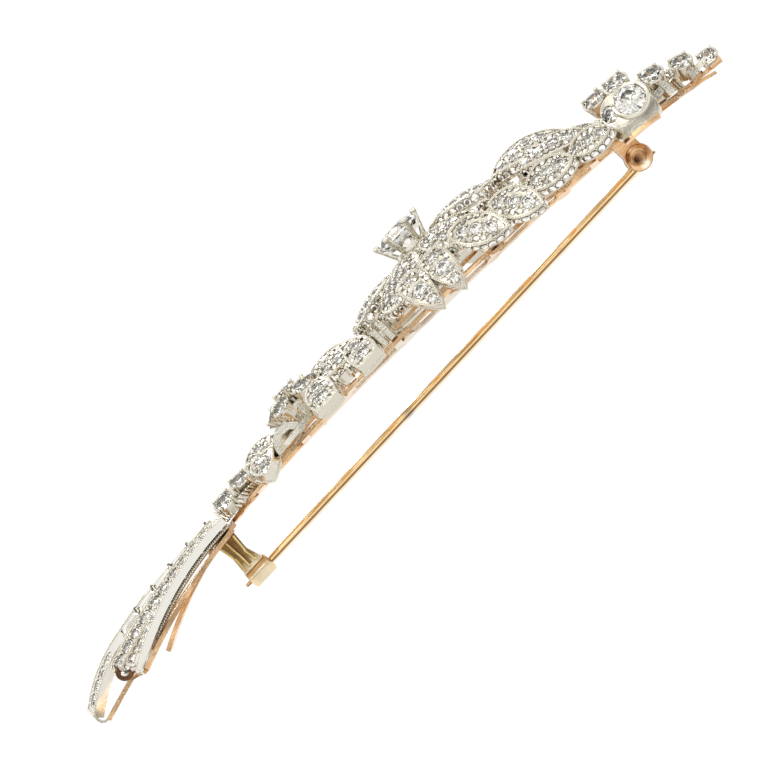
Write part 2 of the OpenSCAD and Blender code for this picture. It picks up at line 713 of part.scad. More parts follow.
// Straight strip that carries the tip of the bud, from the spine's end
tip_x0 = 31.5;
tip_z0 = 2.74;
tip_deg = 8.5;
tip_l = 6.1;
tip_band_lift = 0.2;
tip_w = 1.7;
tip_t = 0.35;
function tip_top(x) = tip_z0 - (x - tip_x0) * tan(tip_deg);
function tip_foot(x, r) = tip_top(x) + 0.04 + r * tan(tip_deg);
module at_bud(k) {
    translate([k[0], k[1], k[2]]) lean_to(k[4], k[5]) children();
}

// A leaning cup, cut flat over what it stands on, and its post
module bud_cup(k, foot) {
    intersection() {
        at_bud(k) collet(k[3], k[6], 4, 45);
        translate([k[0] - 3, k[1] - 3, foot]) cube([6, 6, 6]);
    }
    translate([k[0], k[1], foot]) cylinder(h = k[2] - 0.3 * k[3] - foot, r = bud_foot_r);
}

module bud_cluster() {
    color(platinum) difference() {
        union() {
            for (i = [0:2])
                bud_cup(bud_rows[i], foot_z(bud_rows[i][0], bud_rows[i][1], bud_foot_r));
            for (b = bud_bands)
                translate([b[0], b[1], foot_z(b[0], b[1], bud_band_r) + b[2]])
                    cylinder(h = 0.6, r = bud_band_r);
        }
        for (i = [0:2])
            at_bud(bud_rows[i]) stone_room(bud_rows[i][3]);
    }
}

module bud_tip() {
    color(platinum) difference() {
        union() {
            for (i = [3:4])
                bud_cup(bud_rows[i], tip_foot(bud_rows[i][0], bud_foot_r));
            translate([tip_band[0], tip_band[1], tip_foot(tip_band[0], tip_band_r) + tip_band_lift])
                cylinder(h = 0.5, r = tip_band_r);
        }
        for (i = [3:4])
            at_bud(bud_rows[i]) stone_room(bud_rows[i][3]);
    }
}

module bud_diamond(i) {
    color(diamond) at_bud(bud_rows[i]) brilliant(bud_rows[i][3]);
}

// Openwork of the back, seen from the front
spine_w = 1.8;
spine_x1 = 33;
bar_x0 = -15;
bar_pitch = 5.6;
bar_w = 0.9;
bar_inset = 0.3;
disc_r = 3.4;
catch_pad = [-21.2, -4.4, 2.8, 8.6];
hinge_pad = [3, 4];
// Short bars that join a pad to a rail or the spine: x, and y from and to
struts = [[-0.9, -7.8, -5.6]];
strut_w = 0.8;
module back_pattern() {
    mid = (rails_x0 + rails_x1) / 2;
    long = rails_x1 - rails_x0;
    edge = almond(long, rails_w);
    difference() {
        translate([mid, rails_y]) outline_2d(edge, 0);
        translate([mid, rails_y]) outline_2d(edge, rail_w);
    }
    translate([rails_x0 + 1, pin_y - spine_w / 2]) square([spine_x1 - rails_x0 - 1, spine_w]);
    intersection() {
        translate([mid, rails_y]) outline_2d(edge, bar_inset);
        for (x = [bar_x0:bar_pitch:rails_x1 - 4])
            translate([x - bar_w / 2, rails_y - rails_w / 2]) square([bar_w, rails_w]);
    }
    translate([flower_x, flower_y]) circle(r = disc_r);
    translate([catch_pad[0], catch_pad[1]]) square([catch_pad[2], catch_pad[3]]);
    translate([hinge_x, pin_y]) square(hinge_pad, center = true);
    translate([plate_post[0], plate_post[1] + pad_shift]) square(plate_pad, center = true);
    for (q = leaves)
        translate(post_of(q)) circle(r = pad_r);
    for (k = struts)
        translate([k[0] - strut_w / 2, k[1]]) square([strut_w, k[2] - k[1]]);
}

sheet_deg = 40;
sheet_w = 28;
module back_sheet() {
    translate([bow_x, 0, back_z - bow_r]) rotate([90, 0, 0]) rotate([0, 0, 90 - sheet_deg / 2])
        rotate_extrude(angle = sheet_deg, $fn = 360) translate([bow_r - crown_r, 0]) intersection() {
            difference() {
                circle(r = crown_r, $fn = 120);
                circle(r = crown_r - back_t, $fn = 120);
            }
            translate([crown_r - 4, -sheet_w / 2]) square([6, sheet_w]);
        }
}

// Strip under the tip of the bud, with a round pad under each cup
tip_pad_r = 0.7;
module tip_strip() {
    translate([tip_x0, pin_y - tip_w / 2, tip_z0]) rotate([0, tip_deg, 0])
        translate([0, 0, -tip_t]) cube([tip_l, tip_w, tip_t]);
    for (k = [bud_rows[3], bud_rows[4]])
        translate([k[0], k[1], tip_top(k[0]) - tip_t / 2])
            cylinder(h = tip_t / 2 + bud_foot_r * tan(tip_deg), r = tip_pad_r);
}

// Two hinge cheeks: discs with a straight neck up to the back
cheek_neck = 1.9;
module hinge_cheeks() {
    difference() {
        for (side = [-1, 1])
            translate([hinge_x, pin_y + side * (cheek_y + cheek_t / 2), 0]) {
                translate([0, 0, hinge_z]) rotate([90, 0, 0])
                    cylinder(h = cheek_t, r = hinge_r, center = true);
                translate([-cheek_neck / 2, -cheek_t / 2, hinge_z])
                    cube([cheek_neck, cheek_t, back_top(hinge_x + cheek_neck / 2, pin_y) - 0.12 - hinge_z]);
            }
        translate([hinge_x, pin_y, hinge_z]) rotate([90, 0, 0])
            cylinder(h = 6, r = rivet_r + 0.03, center = true);
    }
}

// Catch: a waisted post with a groove on each side over an open barrel, drawn from the side about its middle
waist_z = 3.0;
slot_z0 = 1.9;
slot_z1 = 4.5;
slot_deep = 0.42;
upright_t = 1.2;
barrel_round_r = 1.4;
module catch_side(top) {
    polygon([[-1.0, top], [0.85, top], [0.6, waist_z], [1.15, 1.0], [-1.15, 1.0], [-0.9, waist_z]]);
}

module catch_slot() {
    polygon([[-0.4, slot_z1], [0.12, slot_z1], [0.08, slot_z0], [-0.3, slot_z0]]);
}

module catch_barrel() {
    mid = (catch_x0 + catch_x1) / 2;
    difference() {
        union() {
            intersection() {
                translate([catch_x0, pin_y, catch_z]) rotate([0, 90, 0])
                    cylinder(h = catch_x1 - catch_x0, r = catch_r);
                translate([mid, pin_y, catch_z]) sphere(r = barrel_round_r);
            }
            translate([mid, pin_y + upright_t / 2, 0]) rotate([90, 0, 0]) difference() {
                linear_extrude(upright_t) catch_side(back_top(catch_x0, pin_y) - 0.1);
                for (z = [-1, upright_t - slot_deep])
                    translate([0, 0, z]) linear_extrude(1 + slot_deep) catch_slot();
            }
        }
        translate([catch_x0 - 1, pin_y, catch_z]) rotate([0, 90, 0])
            cylinder(h = 6, r = catch_bore_r);
        translate([catch_x0 - 1, pin_y - catch_mouth / 2, catch_z - 2]) cube([6, catch_mouth, 2]);
    }
}

module gold_back() {
    color(rose_gold) union() {
        intersection() {
            back_sheet();
            linear_extrude(9) back_pattern();
        }
        for (q = strips)
            to_stem(q) stem_bar(q, q[SH], q[SW], 0);
        tip_strip();
        hinge_cheeks();
        catch_barrel();
    }
}

// Pin stem with its knuckle between the hinge cheeks
pin_x0 = 24.6;
pin_z0 = 0.66;
pin_x1 = -17.5;
pin_z1 = 0.8;
tip_x = -21.7;
knuckle_r = 1.0;
tail_w = 1.1;
root_r = 0.55;
root_l = 1.4;
module pin_stem() {
    slope = atan2(pin_z1 - pin_z0, pin_x0 - pin_x1);
    color(rose_gold) difference() {
        union() {
            translate([hinge_x, pin_y, hinge_z]) rotate([90, 0, 0])
                cylinder(h = 2 * cheek_y - 0.12, r = knuckle_r, center = true);
            translate([hinge_x - 0.4, pin_y, pin_z0]) rotate([0, -90 + slope, 0]) {
                cylinder(h = root_l, r1 = root_r, r2 = pin_d / 2);
                translate([0, 0, root_l]) cylinder(h = hinge_x - 0.4 - pin_x1 - root_l, r = pin_d / 2);
            }
            translate([hinge_x, pin_y, hinge_z]) rotate([90, 0, 0]) linear_extrude(tail_w, center = true)
                polygon([[0.2, -0.9], [1.35, -0.75], [0.9, 0.3]]);
            translate([pin_x1, pin_y, pin_z1]) rotate([0, -90, 0])
                cylinder(h = pin_x1 - tip_x, r1 = pin_d / 2 - 0.01, r2 = 0.14);
        }
        translate([hinge_x, pin_y, hinge_z]) rotate([90, 0, 0])
            cylinder(h = 6, r = rivet_r + 0.05, center = true);
    }
}

rivet_head_r = 0.62;
rivet_head_h = 0.22;
rivet_dimple_r = 0.26;
module hinge_rivet() {
    reach = cheek_y + cheek_t;
    color(rose_gold) translate([hinge_x, pin_y, hinge_z]) rotate([90, 0, 0]) difference() {
        union() {
            cylinder(h = 2 * reach + 0.3, r = rivet_r, center = true);
            for (side = [-1, 1])
                translate([0, 0, side * (reach + 0.17)])
                    cylinder(h = rivet_head_h, r = rivet_head_r, center = true);
        }
        for (side = [-1, 1])
            translate([0, 0, side * (reach + 0.28)])
                cylinder(h = 0.22, r = rivet_dimple_r, center = true);
    }
}

// The frame's origin is the middle of the brooch's box, on the plane that it lies on
box_mid = [-0.28, 1.81];
module framed() {
    translate([-box_mid[0], -box_mid[1], 0]) children();
}

framed() gold_back();
framed() stem(0);  // stem_front
framed() stem(1);  // stem_beaded
framed() stem(2);  // stem_near
framed() stem(3);  // stem_far
framed() knot();
framed() small_flower();
framed() scroll_arch();
framed() collet_pair();
framed() near_cup();
framed() centre_flower();
framed() centre_setting();
framed() bud_plate();
framed() bud_cluster();
framed() bud_tip();
framed() pin_stem();
framed() hinge_rivet();
framed() centre_diamond();
framed() small_flower_diamond();
framed() near_cup_diamond();
framed() plate_diamond();
framed() plate_side_diamond();
framed() petal_stones();
framed() leaf_stones();
framed() stem_stones();
framed() small_flower_stones();
for (i = [1:20])
    framed() leaf_spray(sprays[i - 1]);
for (i = [1:3])
    framed() knot_diamond(i - 1);
for (i = [1:5]) {
    framed() bud_diamond(i - 1);
    framed() baguette_stone(i - 1);
}
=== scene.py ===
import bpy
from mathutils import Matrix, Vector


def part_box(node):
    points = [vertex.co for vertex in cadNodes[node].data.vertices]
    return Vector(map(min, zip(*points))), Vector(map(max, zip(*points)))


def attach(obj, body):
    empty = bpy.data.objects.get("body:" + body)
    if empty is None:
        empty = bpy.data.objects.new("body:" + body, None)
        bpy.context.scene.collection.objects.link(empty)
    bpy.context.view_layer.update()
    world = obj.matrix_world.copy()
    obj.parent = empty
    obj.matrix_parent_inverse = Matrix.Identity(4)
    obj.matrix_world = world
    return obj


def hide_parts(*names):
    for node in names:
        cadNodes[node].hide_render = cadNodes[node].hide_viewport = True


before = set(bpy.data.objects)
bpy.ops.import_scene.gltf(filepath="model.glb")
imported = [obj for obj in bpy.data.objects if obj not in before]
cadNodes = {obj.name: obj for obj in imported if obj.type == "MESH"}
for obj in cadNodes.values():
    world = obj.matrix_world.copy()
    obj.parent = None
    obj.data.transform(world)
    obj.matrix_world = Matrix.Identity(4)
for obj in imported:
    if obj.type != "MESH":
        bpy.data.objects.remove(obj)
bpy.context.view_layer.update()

import math
import random

import bmesh
import bpy
import numpy as np
from mathutils import Matrix, Vector
from mathutils.bvhtree import BVHTree

mm = 0.001
print("frame loaded:", len(cadNodes), "nodes")


# Small helpers

def mergedCopy(node):  # a CAD node's triangles, joined at their corners
    bm = bmesh.new()
    bm.from_mesh(cadNodes[node].data)
    bmesh.ops.remove_doubles(bm, verts=bm.verts, dist=0.0005 * mm)
    bm.faces.ensure_lookup_table()
    bm.normal_update()
    return bm


def addPiece(name, mesh, material, body="brooch"):
    piece = bpy.data.objects.new(name, mesh)
    bpy.context.scene.collection.objects.link(piece)
    mesh.materials.clear()
    mesh.materials.append(material)
    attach(piece, body)
    return piece


def frameAt(place, up, along):  # matrix whose Z is up and whose X lies near along
    up = up.normalized()
    side = up.cross(along).normalized()
    along = side.cross(up).normalized()
    return Matrix.Translation(place) @ Matrix((along, side, up)).transposed().to_4x4()


def joinCopies(name, template, places, smooth):  # one mesh from many copies of a bmesh
    print(name, len(places))
    corners = np.array([v.co for v in template.verts])
    template.verts.index_update()
    loops = [[v.index for v in f.verts] for f in template.faces]
    turned = []
    faces = []
    for k, place in enumerate(places):
        m = np.array(place)
        turned.append(corners @ m[:3, :3].T + m[:3, 3])
        shift = k * len(corners)
        faces += [[i + shift for i in loop] for loop in loops]
    mesh = bpy.data.meshes.new(name)
    mesh.from_pydata(np.concatenate(turned).tolist(), [], faces)
    mesh.polygons.foreach_set("use_smooth", [smooth] * len(mesh.polygons))
    mesh.update()
    return mesh


def addCopies(name, template, places, smooth, material):
    return addPiece(name, joinCopies(name, template, places, smooth), material)


def addShape(name, bm, smooth, material):  # a piece from a finished bmesh
    bmesh.ops.recalc_face_normals(bm, faces=bm.faces)
    mesh = bpy.data.meshes.new(name)
    bm.to_mesh(mesh)
    bm.free()
    mesh.polygons.foreach_set("use_smooth", [smooth] * len(mesh.polygons))
    return addPiece(name, mesh, material)


# Shader groups

def newGroup(name, inputs, outputs):
    tree = bpy.data.node_groups.new(name, "ShaderNodeTree")
    for label, kind, value in inputs:
        socket = tree.interface.new_socket(label, in_out="INPUT", socket_type=kind)
        socket.default_value = value
    for label, kind in outputs:
        tree.interface.new_socket(label, in_out="OUTPUT", socket_type=kind)
    return tree, tree.nodes.new("NodeGroupInput"), tree.nodes.new("NodeGroupOutput")


def addNode(tree, kind, **values):
    node = tree.nodes.new(kind)
    for key, value in values.items():
        setattr(node, key, value)
    return node


def addRamp(tree, source, stops):  # each stop has a place and a grey or a colour
    ramp = tree.nodes.new("ShaderNodeValToRGB")
    while len(ramp.color_ramp.elements) < len(stops):
        ramp.color_ramp.elements.new(0.5)
    for element, (place, shade) in zip(ramp.color_ramp.elements, stops):
        element.position = place
        element.color = shade if isinstance(shade, tuple) else (shade, shade, shade, 1)
    tree.links.new(source, ramp.inputs["Fac"])
    return ramp.outputs["Color"]


wearAndShadeLook = {
    "cloudDetail": 5,
    "fineDetail": 3,
    "fineScale": 6.5,
    "broadScale": 0.55,
    "patchFrom": 0.42,
    "patchTo": 0.72,
    "belowFrom": 0.05,
    "belowTo": -0.5,
    "dull": 0.25,
    "zoneCore": 0.45,
}


def makeWornShadedMetalGroup(look):  # polish, tarnish patches, painted shade in the crevices and on faces that look down, hairline scratches and tiny dents
    tree, taken, given = newGroup("wornShadedMetal", [
        ("Metal", "NodeSocketColor", (0.8, 0.8, 0.8, 1)),
        # Tarnish colours both the tarnish patches and the painted shade
        ("Tarnish", "NodeSocketColor", (0.2, 0.15, 0.1, 1)),
        ("Crevice Shade", "NodeSocketFloat", 0.0),
        ("Tarnish Spread", "NodeSocketFloat", 0.3),
        ("Polish", "NodeSocketFloat", 0.12),
        ("Wear", "NodeSocketFloat", 0.2),
        ("Scale", "NodeSocketFloat", 1000.0),
        ("Ripple", "NodeSocketFloat", 4.0),
        ("Underside Shade", "NodeSocketFloat", 0.0),
    ], [("Color", "NodeSocketColor"), ("Roughness", "NodeSocketFloat"), ("Height", "NodeSocketFloat")])
    link = tree.links.new
    source = addNode(tree, "ShaderNodeTexCoord")
    coords = source.outputs["Object"]
    cloud = addNode(tree, "ShaderNodeTexNoise")
    cloud.inputs["Detail"].default_value = look["cloudDetail"]
    fine = addNode(tree, "ShaderNodeTexNoise")
    fine.inputs["Detail"].default_value = look["fineDetail"]
    fineScale = addNode(tree, "ShaderNodeMath", operation="MULTIPLY")
    fineScale.inputs[1].default_value = look["fineScale"]
    link(taken.outputs["Scale"], fineScale.inputs[0])
    link(taken.outputs["Scale"], cloud.inputs["Scale"])
    link(fineScale.outputs[0], fine.inputs["Scale"])
    for noise in (cloud, fine):
        link(coords, noise.inputs["Vector"])
    patches = addRamp(tree, cloud.outputs["Fac"], [(look["patchFrom"], 0), (look["patchTo"], 1)])
    spread = addNode(tree, "ShaderNodeMath", operation="MULTIPLY")
    link(patches, spread.inputs[0])
    link(taken.outputs["Tarnish Spread"], spread.inputs[1])
    # share of the Tarnish colour: tarnish patches, painted crevice shade and painted underside shade
    tarnishAndShadeShare = addNode(tree, "ShaderNodeMath", operation="MAXIMUM", use_clamp=True)
    link(spread.outputs[0], tarnishAndShadeShare.inputs[0])
    facing = addNode(tree, "ShaderNodeSeparateXYZ")
    link(source.outputs["Normal"], facing.inputs[0])
    below = addNode(tree, "ShaderNodeMapRange", clamp=True)  # painted shade on faces that look down
    below.inputs["From Min"].default_value = look["belowFrom"]
    below.inputs["From Max"].default_value = look["belowTo"]
    link(facing.outputs["Z"], below.inputs["Value"])
    paintedUndersideShade = addNode(tree, "ShaderNodeMath", operation="MULTIPLY")
    link(below.outputs["Result"], paintedUndersideShade.inputs[0])
    link(taken.outputs["Underside Shade"], paintedUndersideShade.inputs[1])
    paintedShadeShare = addNode(tree, "ShaderNodeMath", operation="MAXIMUM")
    link(paintedUndersideShade.outputs[0], paintedShadeShare.inputs[0])
    link(taken.outputs["Crevice Shade"], paintedShadeShare.inputs[1])
    link(paintedShadeShare.outputs[0], tarnishAndShadeShare.inputs[1])
    tint = addNode(tree, "ShaderNodeMix", data_type="RGBA")
    link(tarnishAndShadeShare.outputs[0], tint.inputs["Factor"])
    link(taken.outputs["Metal"], tint.inputs["A"])
    link(taken.outputs["Tarnish"], tint.inputs["B"])
    link(tint.outputs["Result"], given.inputs["Color"])
    wear = addNode(tree, "ShaderNodeMath", operation="MULTIPLY")
    link(cloud.outputs["Fac"], wear.inputs[0])
    link(taken.outputs["Wear"], wear.inputs[1])
    rough = addNode(tree, "ShaderNodeMath", operation="ADD")
    link(wear.outputs[0], rough.inputs[0])
    link(taken.outputs["Polish"], rough.inputs[1])
    dull = addNode(tree, "ShaderNodeMath", operation="MULTIPLY_ADD", use_clamp=True)
    link(tarnishAndShadeShare.outputs[0], dull.inputs[0])
    dull.inputs[1].default_value = look["dull"]
    link(rough.outputs[0], dull.inputs[2])
    link(dull.outputs[0], given.inputs["Roughness"])
    broad = addNode(tree, "ShaderNodeTexNoise")
    broad.inputs["Detail"].default_value = 0
    broadScale = addNode(tree, "ShaderNodeMath", operation="MULTIPLY")
    broadScale.inputs[1].default_value = look["broadScale"]
    link(taken.outputs["Scale"], broadScale.inputs[0])
    link(broadScale.outputs[0], broad.inputs["Scale"])
    link(coords, broad.inputs["Vector"])
    ripple = addNode(tree, "ShaderNodeMath", operation="MULTIPLY_ADD")
    link(broad.outputs["Fac"], ripple.inputs[0])
    link(taken.outputs["Ripple"], ripple.inputs[1])
    link(fine.outputs["Fac"], ripple.inputs[2])
    link(ripple.outputs[0], given.inputs["Height"])
    return tree


wornShadedMetal = makeWornShadedMetalGroup(wearAndShadeLook)


def zoneMask(tree, place, reach):  # 1 round a point of the brooch, falling to 0 at its reach
    coords = addNode(tree, "ShaderNodeTexCoord").outputs["Object"]
    far = addNode(tree, "ShaderNodeVectorMath", operation="DISTANCE")
    tree.links.new(coords, far.inputs[0])
    far.inputs[1].default_value = place
    fall = addNode(tree, "ShaderNodeMapRange", clamp=True)
    fall.inputs["From Min"].default_value = reach
    fall.inputs["From Max"].default_value = reach * wearAndShadeLook["zoneCore"]
    tree.links.new(far.outputs["Value"], fall.inputs["Value"])
    return fall.outputs["Result"]


def paintedReflectionBands(tree, bands, colour):  # painted reflections: streaks that lie along a line of the brooch, by their height above it
    across = addNode(tree, "ShaderNodeVectorMath", operation="DOT_PRODUCT")
    tree.links.new(addNode(tree, "ShaderNodeTexCoord").outputs["Object"], across.inputs[0])
    across.inputs[1].default_value = bands["across"]
    level = addNode(tree, "ShaderNodeMapRange", clamp=True)
    level.inputs["From Min"].default_value = bands["low"]
    level.inputs["From Max"].default_value = bands["high"]
    tree.links.new(across.outputs["Value"], level.inputs["Value"])
    paintedReflections = addRamp(tree, level.outputs["Result"], bands["stops"])
    blend = addNode(tree, "ShaderNodeMix", data_type="RGBA", blend_type="MULTIPLY")
    blend.inputs["Factor"].default_value = 1
    tree.links.new(colour, blend.inputs["A"])
    tree.links.new(paintedReflections, blend.inputs["B"])
    return blend.outputs["Result"]


def makeMetal(name, look, bands=None):
    material = bpy.data.materials.new(name)
    material.use_nodes = True
    tree = material.node_tree
    shader = tree.nodes["Principled BSDF"]
    shader.inputs["Metallic"].default_value = 1
    # painted shade: ambient occlusion darkens the crevices towards the Tarnish colour
    crevice = addNode(tree, "ShaderNodeAmbientOcclusion", samples=4)
    crevice.inputs["Distance"].default_value = look["creviceReach"]
    stops = [(look["creviceFrom"], look["creviceShade"]), (look["creviceTo"], 0)]
    paintedCreviceShade = addRamp(tree, crevice.outputs["AO"], stops)
    group = addNode(tree, "ShaderNodeGroup", node_tree=wornShadedMetal)
    for socket, key in (("Metal", "metal"), ("Tarnish", "tarnish"), ("Tarnish Spread", "spread"),
                        ("Polish", "polish"), ("Wear", "wear"), ("Scale", "scale"), ("Ripple", "ripple"),
                        ("Underside Shade", "underside")):
        group.inputs[socket].default_value = look[key]
    tree.links.new(paintedCreviceShade, group.inputs["Crevice Shade"])
    colour = None
    # spots of colour by place: on the gold these are painted highlights and painted shade
    for place, reach, strength, tint in look["zones"]:
        share = addNode(tree, "ShaderNodeMath", operation="MULTIPLY")
        tree.links.new(zoneMask(tree, place, reach), share.inputs[0])
        share.inputs[1].default_value = strength
        blend = addNode(tree, "ShaderNodeMix", data_type="RGBA")
        tree.links.new(share.outputs[0], blend.inputs["Factor"])
        if colour is None:
            blend.inputs["A"].default_value = look["metal"]
        else:
            tree.links.new(colour, blend.inputs["A"])
        blend.inputs["B"].default_value = tint
        colour = blend.outputs["Result"]
        tree.links.new(colour, group.inputs["Metal"])
    shade = group.outputs["Color"]
    # painted reflection streaks along the part
    if bands:
        shade = paintedReflectionBands(tree, bands, shade)
    tree.links.new(shade, shader.inputs["Base Color"])
    tree.links.new(group.outputs["Roughness"], shader.inputs["Roughness"])
    bump = addNode(tree, "ShaderNodeBump")
    bump.inputs["Strength"].default_value = look["bump"]
    bump.inputs["Distance"].default_value = look["bumpDepth"]
    tree.links.new(group.outputs["Height"], bump.inputs["Height"])
    tree.links.new(bump.outputs["Normal"], shader.inputs["Normal"])
    return material


platinumLook = {
    "metal": (0.84, 0.805, 0.71, 1),
    "tarnish": (0.27, 0.22, 0.145, 1),
    "spread": 0.15,
    "polish": 0.04,
    "wear": 0.14,
    "scale": 900.0,
    "ripple": 16.0,
    "bump": 0.5,
    "bumpDepth": 0.02 * mm,
    "creviceReach": 0.35 * mm,
    "creviceFrom": 0.15,
    "creviceTo": 0.75,
    "creviceShade": 0.75,
    "underside": 0.42,
    "zones": [],
}
polishedLook = {
    **platinumLook,
    "ripple": 4.0,
    "polish": 0.1,
    "wear": 0.1,
    "spread": 0.06,
    "underside": 0.25,
}
ribbonLook = {**polishedLook, "metal": (0.87, 0.85, 0.79, 1), "polish": 0.26, "wear": 0.06}
galleryLook = {
    **polishedLook,
    "metal": (0.88, 0.85, 0.77, 1),
    "polish": 0.3,
    "creviceShade": 0.3,
    "underside": 0.0,
}
goldLook = {
    "metal": (0.90, 0.61, 0.35, 1),
    "tarnish": (0.30, 0.13, 0.05, 1),
    "spread": 0.45,
    "polish": 0.05,
    "wear": 0.16,
    "scale": 700.0,
    "ripple": 14.0,
    "bump": 0.5,
    "bumpDepth": 0.02 * mm,
    "creviceReach": 0.6 * mm,
    "creviceFrom": 0.3,
    "creviceTo": 0.85,
    "creviceShade": 0.8,
    "underside": 0.05,
    "zones": [  # place, reach, strength and tint of each spot: painted shade and painted highlights on the catch and hinge, and a greyer tone over the far side of the gold back
        # painted shade over the catch post, then a painted highlight on the catch barrel
        ((-19.7 * mm, -0.9 * mm, 3.6 * mm), 3.2 * mm, 0.95, (0.26, 0.17, 0.06, 1)),
        ((-19.7 * mm, -0.9 * mm, 0.7 * mm), 1.9 * mm, 1.0, (0.87, 0.79, 0.57, 1)),
        # a deeper orange over the hinge, then painted highlights and painted shade spots round its eye
        ((27.1 * mm, -2.9 * mm, 1.7 * mm), 1.9 * mm, 0.6, (0.72, 0.38, 0.15, 1)),
        ((27.05 * mm, -3.0 * mm, 0.35 * mm), 0.6 * mm, 1.0, (1.0, 0.94, 0.78, 1)),
        ((26.35 * mm, -2.9 * mm, 1.85 * mm), 0.55 * mm, 0.85, (0.25, 0.10, 0.03, 1)),
        ((27.85 * mm, -2.9 * mm, 1.1 * mm), 0.5 * mm, 0.8, (0.34, 0.15, 0.06, 1)),
        ((27.3 * mm, -2.9 * mm, 2.15 * mm), 0.45 * mm, 0.9, (1.0, 0.82, 0.58, 1)),
        ((26.85 * mm, -3.0 * mm, 1.2 * mm), 0.55 * mm, 1.0, (0.12, 0.05, 0.02, 1)),
        ((5 * mm, 16 * mm, 5 * mm), 17 * mm, 0.8, (0.72, 0.70, 0.60, 1)),
    ],
}
pinLook = {
    "metal": (0.97, 0.84, 0.63, 1),
    "tarnish": (0.42, 0.22, 0.09, 1),
    "spread": 0.2,
    "polish": 0.05,
    "wear": 0.12,
    "scale": 500.0,
    "ripple": 5.0,
    "bump": 0.3,
    "bumpDepth": 0.02 * mm,
    "creviceReach": 0.4 * mm,
    "creviceFrom": 0.2,
    "creviceTo": 0.7,
    "creviceShade": 0.5,
    "underside": 0.0,
    "zones": [
        ((-1.6 * mm, -0.91 * mm, 0.75 * mm), 0.8 * mm, 0.9, (0.55, 0.53, 0.50, 1)),
    ],
}
pinPaintedReflections = {  # the pin's slope, its lowest and highest line, and the painted reflections up its side: a dark brown streak in its lower half between paler bands
    "across": (0.0033, 0, 1),
    "low": 0.343 * mm,
    "high": 1.143 * mm,
    "stops": [(0.0, (1, 1, 1, 1)), (0.2, (1, 0.98, 0.95, 1)), (0.29, (0.24, 0.14, 0.07, 1)),
              (0.42, (0.34, 0.21, 0.11, 1)), (0.52, (1, 0.88, 0.68, 1)), (0.78, (0.94, 0.78, 0.52, 1)),
              (0.95, (1, 1, 1, 1))],
}
ribLook = {
    **pinLook,
    "metal": (0.74, 0.58, 0.26, 1),
    "tarnish": (0.3, 0.2, 0.07, 1),
    "spread": 0.4,
    "zones": [],
}
# near-black gold for the curl under the stem's end cup: painted shade
darkLook = {**goldLook, "metal": (0.13, 0.07, 0.04, 1), "polish": 0.18, "zones": []}
# darkened platinum for painted shade: the rings round the fine stones, the gallery's window and the baguette
# claws
paintedShadeLook = {
    "metal": (0.24, 0.215, 0.18, 1),
    "tarnish": (0.10, 0.08, 0.06, 1),
    "spread": 0.5,
    "polish": 0.3,
    "wear": 0.2,
    "scale": 1500.0,
    "ripple": 3.0,
    "bump": 0.3,
    "bumpDepth": 0.02 * mm,
    "creviceReach": 0.3 * mm,
    "creviceFrom": 0.2,
    "creviceTo": 0.8,
    "creviceShade": 0.6,
    "underside": 0.0,
    "zones": [],
}
platinum = makeMetal("platinum", platinumLook)
polishedPlatinum = makeMetal("polishedPlatinum", polishedLook)
ribbonPlatinum = makeMetal("ribbonPlatinum", ribbonLook)
galleryPlatinum = makeMetal("galleryPlatinum", galleryLook)
darkGold = makeMetal("darkGold", darkLook)
ribGold = makeMetal("ribGold", ribLook)
roseGold = makeMetal("roseGold", goldLook)
pinGold = makeMetal("pinGold", pinLook, pinPaintedReflections)
paintedShadeMetal = makeMetal("paintedShadeMetal", paintedShadeLook)

stoneLook = {
    "tint": (1.0, 0.98, 0.93, 1),
    "ior": 2.3,
    "roughness": 0.0,
}


def makeDiamond(look):
    material = bpy.data.materials.new("diamond")
    material.use_nodes = True
    shader = material.node_tree.nodes["Principled BSDF"]
    shader.inputs["Base Color"].default_value = look["tint"]
    shader.inputs["Roughness"].default_value = look["roughness"]
    shader.inputs["IOR"].default_value = look["ior"]
    shader.inputs["Transmission Weight"].default_value = 1
    return material


diamond = makeDiamond(stoneLook)

fineStoneLook = {
    "tint": (0.97, 0.95, 0.90, 1),
    "dark": (0.52, 0.48, 0.41, 1),
    "scale": 2600.0,
    "from": 0.45,
    "to": 0.6,
    "roughness": 0.04,
}
baguetteLook = {
    "tint": (1.0, 0.99, 0.96, 1),
    "dark": (0.80, 0.78, 0.73, 1),
    "scale": 900.0,
    "from": 0.45,
    "to": 0.6,
    "roughness": 0.12,
}


def makeFineStone(name, look):  # stones whose facets only flash, with nothing to see through them
    material = bpy.data.materials.new(name)
    material.use_nodes = True
    tree = material.node_tree
    shader = tree.nodes["Principled BSDF"]
    shader.inputs["Metallic"].default_value = 1
    shader.inputs["Roughness"].default_value = look["roughness"]
    noise = addNode(tree, "ShaderNodeTexNoise")
    noise.inputs["Scale"].default_value = look["scale"]
    tree.links.new(addNode(tree, "ShaderNodeTexCoord").outputs["Object"], noise.inputs["Vector"])
    share = addRamp(tree, noise.outputs["Fac"], [(look["from"], 0), (look["to"], 1)])
    tint = addNode(tree, "ShaderNodeMix", data_type="RGBA")
    tree.links.new(share, tint.inputs["Factor"])
    tint.inputs["A"].default_value = look["tint"]
    tint.inputs["B"].default_value = look["dark"]
    tree.links.new(tint.outputs["Result"], shader.inputs["Base Color"])
    return material


fineStone = makeFineStone("fineStone", fineStoneLook)
baguetteStone = makeFineStone("baguetteStone", baguetteLook)

